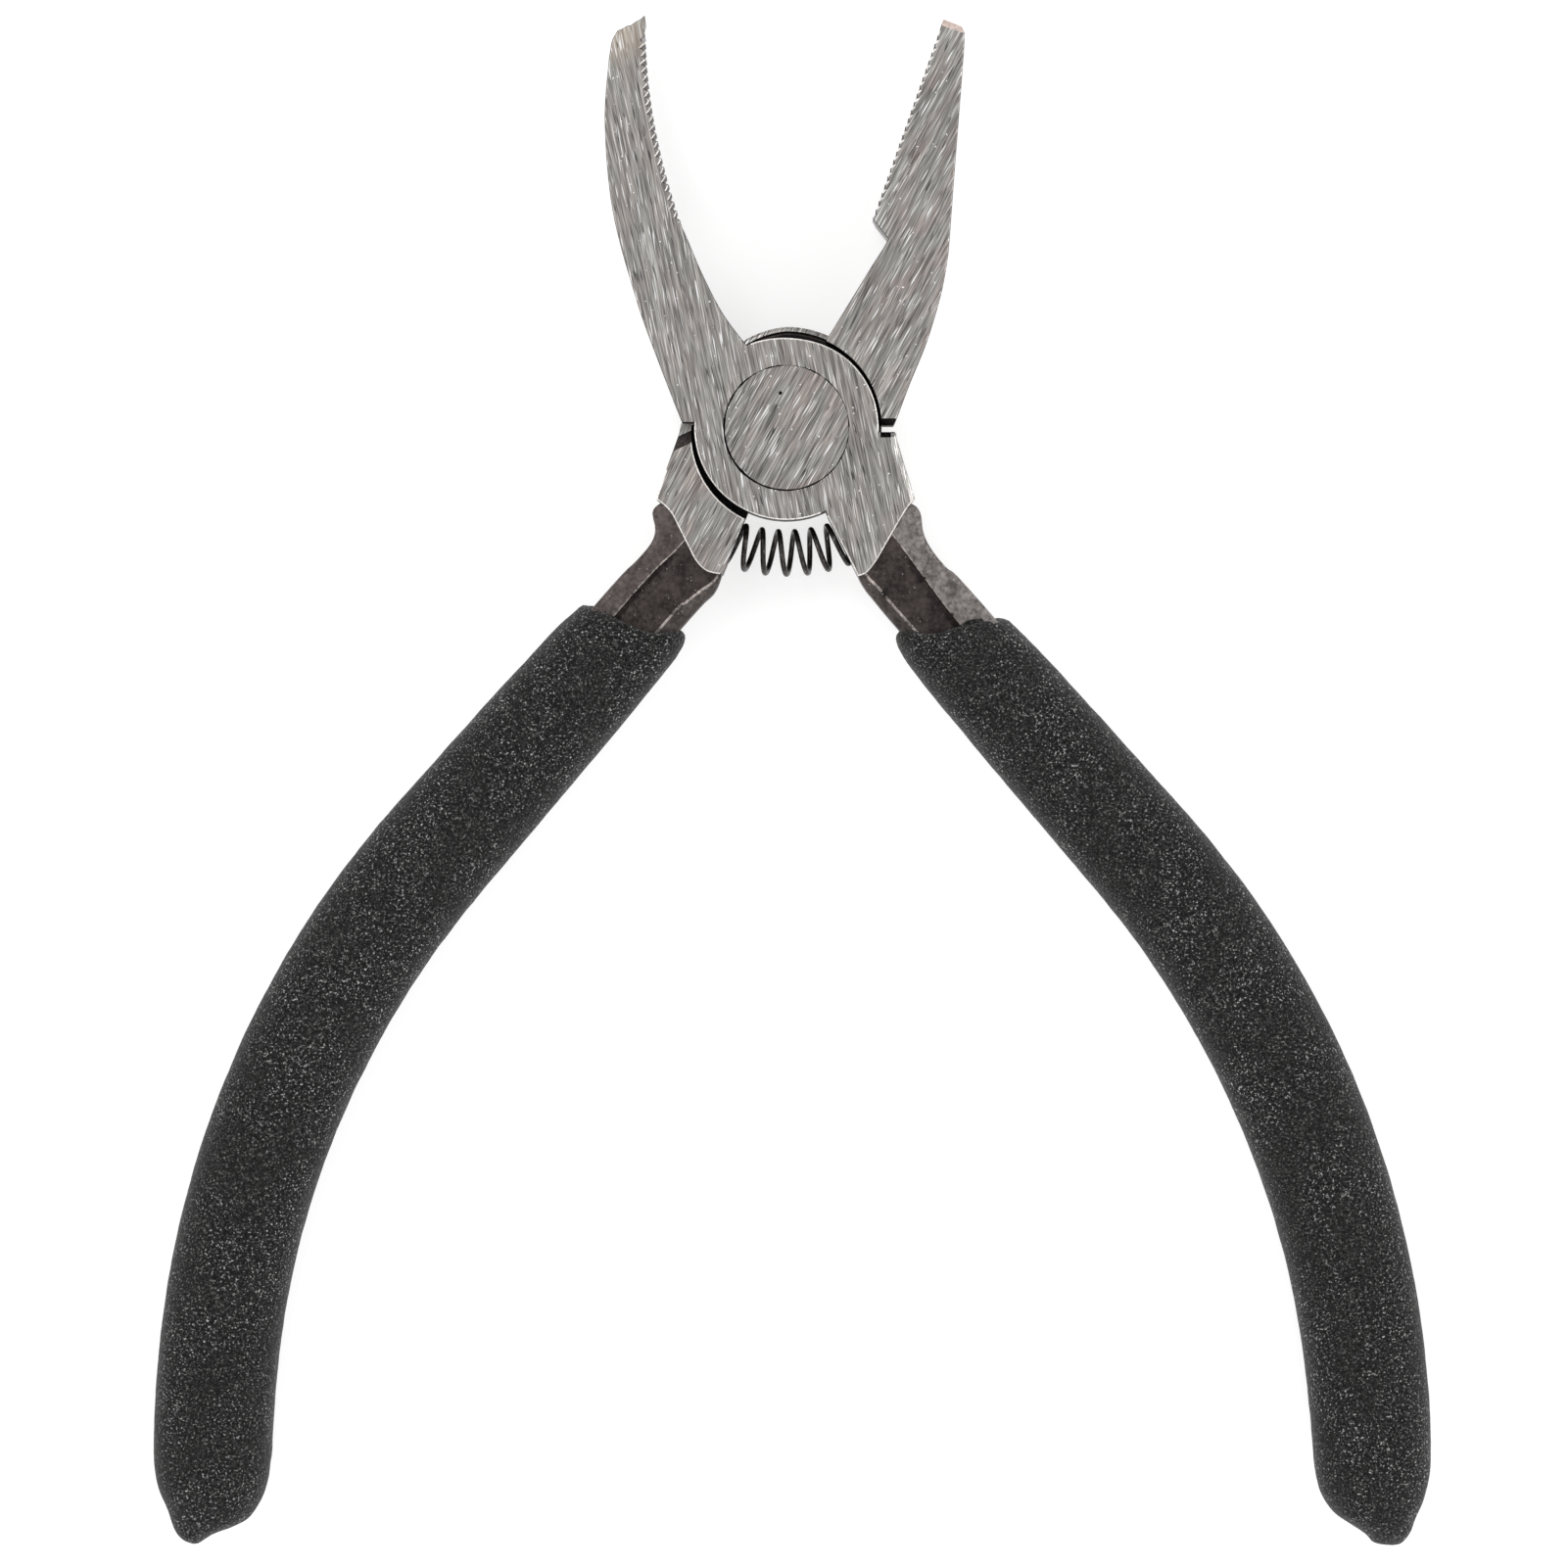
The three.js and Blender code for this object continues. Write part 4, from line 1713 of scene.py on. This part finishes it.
@dataclass(frozen=True)
class BackHalf(Half):
    """The half that laps behind: straight jaw on the right, left shoulder and handle."""

    line: HandleLine = HandleLine(side=-1, start=-1.4, angle=40.85, straight=54.3, bend=90.5)
    name: str = "back_pliers_half"
    node: str = "back_half"
    body: Body = Body.BACK
    throat: tuple[Point2, ...] = ((2.0, 0.3), (2.0, 5.0), (4.1, 8.9), (8.4, 15.9), (9.5, 17.6),
                                  (9.95, 18.45), (8.75, 19.95), (8.45, 20.5))
    bite: tuple[Point2, Point2] = ((8.45, 20.5), (14.75, 38.3))
    teeth: Teeth = Teeth(22, 0.22)
    tip: tuple[Point2, ...] = ((14.95, 38.8), (15.25, 39.75), (15.4, 39.9), (17.15, 39.2),
                               (17.4, 38.6))
    outside: tuple[Point2, ...] = ((17.4, 38.6), (17.35, 37.0), (16.9, 31.0), (16.35, 24.0),
                                   (15.95, 18.5), (15.75, 16.5), (15.1, 13.0), (13.8, 8.6),
                                   (12.1, 4.4), (10.85, 1.1), (10.5, 0.3))
    jaw_wall: float = 9.28
    shoulder: tuple[Point2, ...] = ((2.0, -4.0), (8.7, -0.2), (8.9, 0.42), (10.3, 0.45),
                                    (10.5, -0.55), (11.0, -2.0), (11.75, -4.1),
                                    (12.72, -6.95))
    foot: tuple[Point2, ...] = ((12.72, -6.95), (11.4, -8.15), (10.5, -9.8), (9.6, -11.6),
                                (8.85, -13.0), (7.8, -14.0), (6.2, -14.35))
    inside: Point2 = (4.0, -8.8)
    shoulder_wall: float = 9.32
    wall_drop: float = 0.5
    crown: float = 10.05
    crown_fall: float = 0.016  # how much less for each degree to the left of the top
    crown_low: float = 9.33
    crown_end: float = -7.0
    crown_rings: int = 76
    crown_floor: float = 6.8  # how far in it reaches, inside the hub
    jaw_foot: float = 20.0  # where the jaw starts to cover it, in degrees
    undercut: tuple[Point2, Point2] = ((11.2, 0.3), (8.4, 0.3))
    tip_facet: tuple[Point2, Point2] = ((15.1, 39.98), (17.3, 39.2))
    stop_facet: tuple[Point2, Point2] = ((-11.75, -1.35), (-10.3, -0.68))

    def _bite(self) -> list[Point2]:
        """Gives the straight, toothed bite, gullet and crest in turn."""
        return self.teeth.along(Track(self.bite).at)

    def _chains(self) -> tuple[Chain, Chain]:
        """Lays out the jaw and the shoulder.

        Returns:
            Their outlines.
        """
        jaw = Track((*self.throat, *self._bite(), *self.tip,
                     *through(self.outside)[1:], (2.0, 0.3)))
        left = [*self.shoulder, *through(self.foot)[1:], self.inside, (2.0, -4.0)]
        shoulder = Track(tuple((-x, y) for x, y in reversed(left)))
        dropped = (0.0, -self.wall_drop)
        return (
            Chain.cut(jaw, outside(self.jaw_wall),
                      lambda a, b: arc((0, 0), self.jaw_wall, angle_of(a), angle_of(b))),
            Chain.cut(shoulder, outside(self.shoulder_wall, dropped),
                      lambda a, b: arc(dropped, self.shoulder_wall, angle_of(a, dropped) % 360,
                                       angle_of(b, dropped) % 360)),
        )

    def _neck(self) -> Neck:
        """Gives the neck.

        Returns:
            The neck with its rails.
        """
        return Neck(
            self.line,
            outer=Rail(((13, 4.6), (14.5, 5.55), (15.7, 5.6), (16.75, 4.33), (18, 3.74),
                        (20.2, 3.68), (24, 3.9), (40, 3.8), (117, 3.0))),
            ridge=Rail(((13, 1.4), (16.9, 1.44), (20.2, 1.74), (26, 1.8), (40, 1.5),
                        (117, 1.0))),
            chamfer=Rail(((13, -0.9), (16.2, -3.3), (18.5, -3.0), (21, -2.6), (26, -2.4),
                          (117, -2.0))),
            inner=Rail(((13, -1.7), (14.5, -2.7), (16.0, -3.6), (17.7, -4.14), (19.5, -4.0),
                        (24, -3.95), (40, -3.8), (117, -3.0))),
        )

    def _crown(self) -> bmesh.types.BMesh:
        """Makes the rounded rim of the back hub that shows between the jaws.

        Returns:
            Its mesh, with oxide numbered 0, the lit rim 1 and the step inside it 2. In the groove
            and on the flat beside the hub, the oxide and the step's dark finish are painted shade.
        """
        low, lap, inner = -HEAD.face + 0.1, -HEAD.lap, self.crown_floor
        section = ((inner, low + 0.3), (-0.1, low), (0.0, low + 0.1), (0.0, lap - 0.50),
                   (-0.03, lap - 0.28), (-0.12, lap - 0.10), (-0.28, lap - 0.02),
                   (-0.46, lap), (-0.52, lap - 0.3), (-0.62, lap - 0.3), (-0.68, lap - 0.08),
                   (-0.80, lap - 0.04), (inner, lap - 0.04))
        rings = []
        for degrees in map(float, np.linspace(180, self.crown_end, self.crown_rings)):
            turn = math.radians(degrees)
            rim = self.crown_low
            if degrees > self.jaw_foot:
                rim = max(self.crown - self.crown_fall * max(0.0, degrees - 90), rim)
            ring = [(r if r == inner else rim + r, z) for r, z in section]
            rings.append([(r * math.cos(turn), r * math.sin(turn), z) for r, z in ring])
        shows = self.crown_rings * (180 - self.jaw_foot) / (180 - self.crown_end)

        def finish_of(row: int, index: int) -> int:
            """Numbers a face.

            Args:
                row: Its place round the pivot.
                index: Its place round the section.

            Returns:
                The finish's number.
            """
            if row > shows or index not in range(3, 11):
                return 0
            return 1 if index <= 6 else 2 * (index >= 9)

        return wrapped(rings, finish_of)

    def build(self, ground: bpy.types.Material, forged: ForgedSet) -> bpy.types.Object:
        """Args:
            ground: The finish of its ground faces.
            forged: The finishes of what isn't ground.

        Returns:
            The piece.
        """
        jaw, shoulder = self._chains()
        below = arc((0, 0), HEAD.hub, angle_of(jaw.tail[-1]), angle_of(shoulder.lead[0]))
        above = arc((0, 0), HEAD.hub, angle_of(shoulder.tail[-1]) % 360,
                    angle_of(jaw.lead[0]))
        plate = LappedPlate(jaw, shoulder, self._bite()[1::2]).build((below, above))
        plate.transform(Matrix.Scale(-1, 4, (0, 0, 1)))
        oxide, tip, web = (forged.forged[place]
                           for place in (Forging.OXIDE, Forging.TIP, Forging.WEB))
        neck = shown("neck", self._neck().mesh(), forged.neck())
        # The crown's dark finishes in its groove and beside the hub are painted shade.
        crown = shown("crown", self._crown(), [oxide, ground, web])
        return self._finished(plate, ground, forged, (neck, crown), (
            # The undercut takes the near-black oxide finish as painted shade under the jaw.
            Facet(*self.undercut, 0.62, 1.3, 0.6, oxide, oxide),
            Facet(*self.tip_facet, 0.62, 0.3, 0.6, tip, tip),
            Facet(*self.stop_facet, 1.15, 1.2, 1.5, web, ground),
        ))


@dataclass(frozen=True)
class Rivet:
    """The wide flush rivet: a ground head, a shank and a peened foot, with one small pit."""

    pit: Point2 = (-0.6, 3.4)
    pit_radius: float = 0.22
    pit_depth: float = 0.2
    foot_edge: float = 0.15
    clear: float = 0.02  # under the head
    head_edge: float = 0.1

    def build(self, ground: bpy.types.Material, oxide: bpy.types.Material) -> bpy.types.Object:
        """Args:
            ground: The finish of its head.
            oxide: The finish of its pit and of its rim along the seam.

        Returns:
            The piece.
        """
        face, head = HEAD.face, HEAD.rivet
        profile = ((HEAD.foot - self.foot_edge, -face), (HEAD.foot, -face + self.foot_edge),
                   (HEAD.shank, -face + HEAD.foot_height), (HEAD.shank, self.clear),
                   (head - self.head_edge, self.clear), (head, self.clear + self.head_edge),
                   (head, face - 0.14), (head - 0.01, face - 0.1), (head - 0.015, face))
        top = len(profile) - 1

        def uneven(turn: float, row: int) -> float:
            """Opens the seam round the head where it was ground flush."""
            return -0.5 * HEAD.seam_width(turn) if row == top else 0.0

        body = turned_round(profile, HEAD.round_steps, uneven)
        darken(body, face - 0.13, face - 0.001)
        piece = shown("rivet", body, [ground, oxide])
        pit = turned_round(((0.02, face - self.pit_depth), (self.pit_radius, face + 0.05)), 16)
        pit.transform(Matrix.Translation((*self.pit, 0)))
        fitted(piece, shown("pit", pit, [oxide]), Fit.CUT)
        sharpened(piece, HEAD.crease)
        return placed(piece, Body.BACK, Slot.RIVET, "pivot_rivet")


# ---------------------------------------------------------------- studio


@dataclass(frozen=True)
class Lamp:
    """A soft square light that faces the pliers."""

    name: str
    place: Point3  # metres from the middle of the pliers
    size: float
    power: float


@dataclass(frozen=True)
class Studio:
    """A pale floor, soft lights and a camera looking straight down."""

    centre: Point2 = (-0.000885, -0.000216)  # what the camera looks at, in metres
    width: float = 0.15373  # of the view at the height of the pliers' middle
    distance: float = 1.25
    sensor: float = 36.0
    sky: float = 0.73
    floor_radius: float = 9.0
    floor_drop: float = 0.00005  # below the grips, so that the faces don't meet
    lamps: tuple[Lamp, ...] = (
        Lamp("key", (-0.30, 0.45, 0.75), 0.50, 1.6),
        Lamp("right", (0.75, 0.10, 0.42), 0.30, 2.2),
        Lamp("left", (-0.75, 0.0, 0.42), 0.30, 1.5),
        Lamp("low", (0.25, -0.75, 0.45), 0.30, 1.6),
    )

    def build(self) -> None:
        """Sets up the floor, the lights and the camera."""
        scene = bpy.context.scene
        scene.view_settings.view_transform = "Standard"
        scene.view_settings.look = "None"
        world = bpy.data.worlds.new("soft_sky")
        world.use_nodes = True
        world.node_tree.nodes["Background"].inputs["Color"].default_value = (1, 1, 1, 1)
        world.node_tree.nodes["Background"].inputs["Strength"].default_value = self.sky
        scene.world = world
        middle = Vector((*self.centre, PIVOT.z))
        for lamp in self.lamps:
            data = bpy.data.lights.new(lamp.name, "AREA")
            data.size, data.energy = lamp.size, lamp.power
            light = bpy.data.objects.new(lamp.name, data)
            light.location = middle + Vector(lamp.place)
            light.rotation_euler = (-Vector(lamp.place)).to_track_quat("-Z", "Y").to_euler()
            scene.collection.objects.link(light)
        self._floor()
        data = bpy.data.cameras.new("camera")
        data.sensor_width = self.sensor
        data.lens = self.sensor * self.distance / self.width
        data.clip_start, data.clip_end = 0.05, 20.0
        camera = bpy.data.objects.new("camera", data)
        camera.location = middle + Vector((0, 0, self.distance))
        scene.collection.objects.link(camera)
        scene.camera = camera

    def _floor(self) -> None:
        """Lays the floor under the grips."""
        mesh = bmesh.new()
        bmesh.ops.create_circle(mesh, cap_ends=True, segments=96, radius=self.floor_radius)
        floor = shown("floor", mesh, [PaleFloor().material()])
        floor.location.z = -self.floor_drop


# ---------------------------------------------------------------- pliers


GRIP_DEPTH = Rail(((20, 5.15), (26, 5.2), (30, 5.5), (40, 5.58), (60, 5.58), (80, 5.58),
                   (95, 5.58), (105, 5.57), (112, 5.54), (116, 5.45), (119, 5.28), (121.5, 4.95),
                   (123.6, 4.4), (125.2, 3.65), (126.3, 2.8), (127.1, 1.85), (127.5, 0.95),
                   (127.7, 0.15), (128.2, 0.1)))


def front_grip() -> Grip:
    """Gives the right grip.

    Returns:
        The grip.
    """
    return Grip(
        line=FrontHalf().line, name="front_sleeve", body=Body.FRONT, node="front_grip",
        outer=Rail(((20, 4.2), (27.6, 4.42), (29, 4.8), (31, 5.02), (34, 5.2), (38, 5.32),
                    (50, 5.54), (62, 5.72), (80, 5.9), (98, 5.85), (114, 5.8), (119, 5.75),
                    (121.3, 5.65), (123.65, 5.1), (125.4, 4.4), (126.8, 3.95), (127.9, 3.1),
                    (128.2, 2.0))),
        inner=Rail(((20, -4.5), (23, -4.75), (25, -5.28), (29, -5.6), (34, -5.72), (42, -5.9),
                    (62, -6.12), (80, -6.2), (98, -6.1), (112, -6.02), (118, -5.84),
                    (121, -5.6), (123.2, -5.05), (125.05, -3.85), (126.1, -2.4), (127.2, -0.45),
                    (128.0, 0.4), (128.2, 1.9))),
        depth=GRIP_DEPTH,
        mouth=Rail(((-5.2, 22.9), (-4.7, 23.0), (-2.8, 24.15), (-1.0, 25.3), (0.4, 26.05),
                    (1.6, 26.7), (3.1, 27.3), (4.3, 27.85), (5.2, 28.1))),
        tip=128.2,
    )


def back_grip() -> Grip:
    """Gives the left grip.

    Returns:
        The grip.
    """
    return Grip(
        line=BackHalf().line, name="back_sleeve", body=Body.BACK, node="back_grip",
        outer=Rail(((20, 4.2), (26.2, 4.4), (27, 4.86), (29, 5.22), (31, 5.38), (34, 5.48),
                    (42, 5.74), (62, 6.0), (80, 6.06), (98, 5.96), (110, 5.86), (118, 5.86),
                    (120.7, 5.75), (122.5, 5.36), (124.2, 4.68), (126.2, 4.1), (127.2, 3.35),
                    (127.7, 2.3))),
        inner=Rail(((20, -4.7), (22.6, -4.95), (25, -5.42), (29, -5.58), (34, -5.72),
                    (42, -5.84), (56, -6.02), (74, -6.04), (92, -5.94), (110, -5.9),
                    (118, -5.76), (120, -5.56), (121.5, -5.35), (123.3, -4.79), (125.3, -3.45),
                    (126.15, -2.0), (126.85, 0.3), (127.5, 1.6), (127.7, 2.2))),
        depth=GRIP_DEPTH,
        mouth=Rail(((-5.2, 22.55), (-4.9, 22.65), (-3.8, 23.4), (-2.1, 24.4), (-0.6, 25.1),
                    (1.8, 25.9), (3.6, 26.2), (4.4, 26.26), (5.2, 26.4))),
    )


def main() -> None:
    """Builds the pliers piece by piece, then the studio."""
    logging.basicConfig(level=logging.INFO, format="%(name)s: %(message)s")
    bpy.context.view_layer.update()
    front_steel = GroundSteel("front_ground_steel", stroke_turn=12.0,
                              warm_end=(-16.6, 38.6, 4.7)).material()
    back_steel = GroundSteel("back_ground_steel", stroke_turn=-28.0, warmth=0.8).material()
    rivet_steel = GroundSteel("rivet_ground_steel", stroke_turn=-29.0, warmth=0.9).material()
    side_steel = GroundSteel("side_ground_steel", stroke_turn=0.0, shade=0.8,
                             sides=True).material()
    forged = {place: ForgedSteel(f"forged_{place.name.lower()}", place).material()
              for place in Forging}
    foam = DippedFoam("dipped_foam").material()
    FrontHalf().build(front_steel, ForgedSet(forged, side_steel))
    # The back neck's band is the darker copy, painted shade.
    BackHalf().build(back_steel, ForgedSet(forged, side_steel, Forging.BACK_BAND))
    Rivet().build(rivet_steel, forged[Forging.OXIDE])
    SPRING.build(SpringSteel("blackened_wire").material())
    front_grip().build(foam)
    back_grip().build(foam)
    Studio().build()


if __name__ == "__main__":
    main()
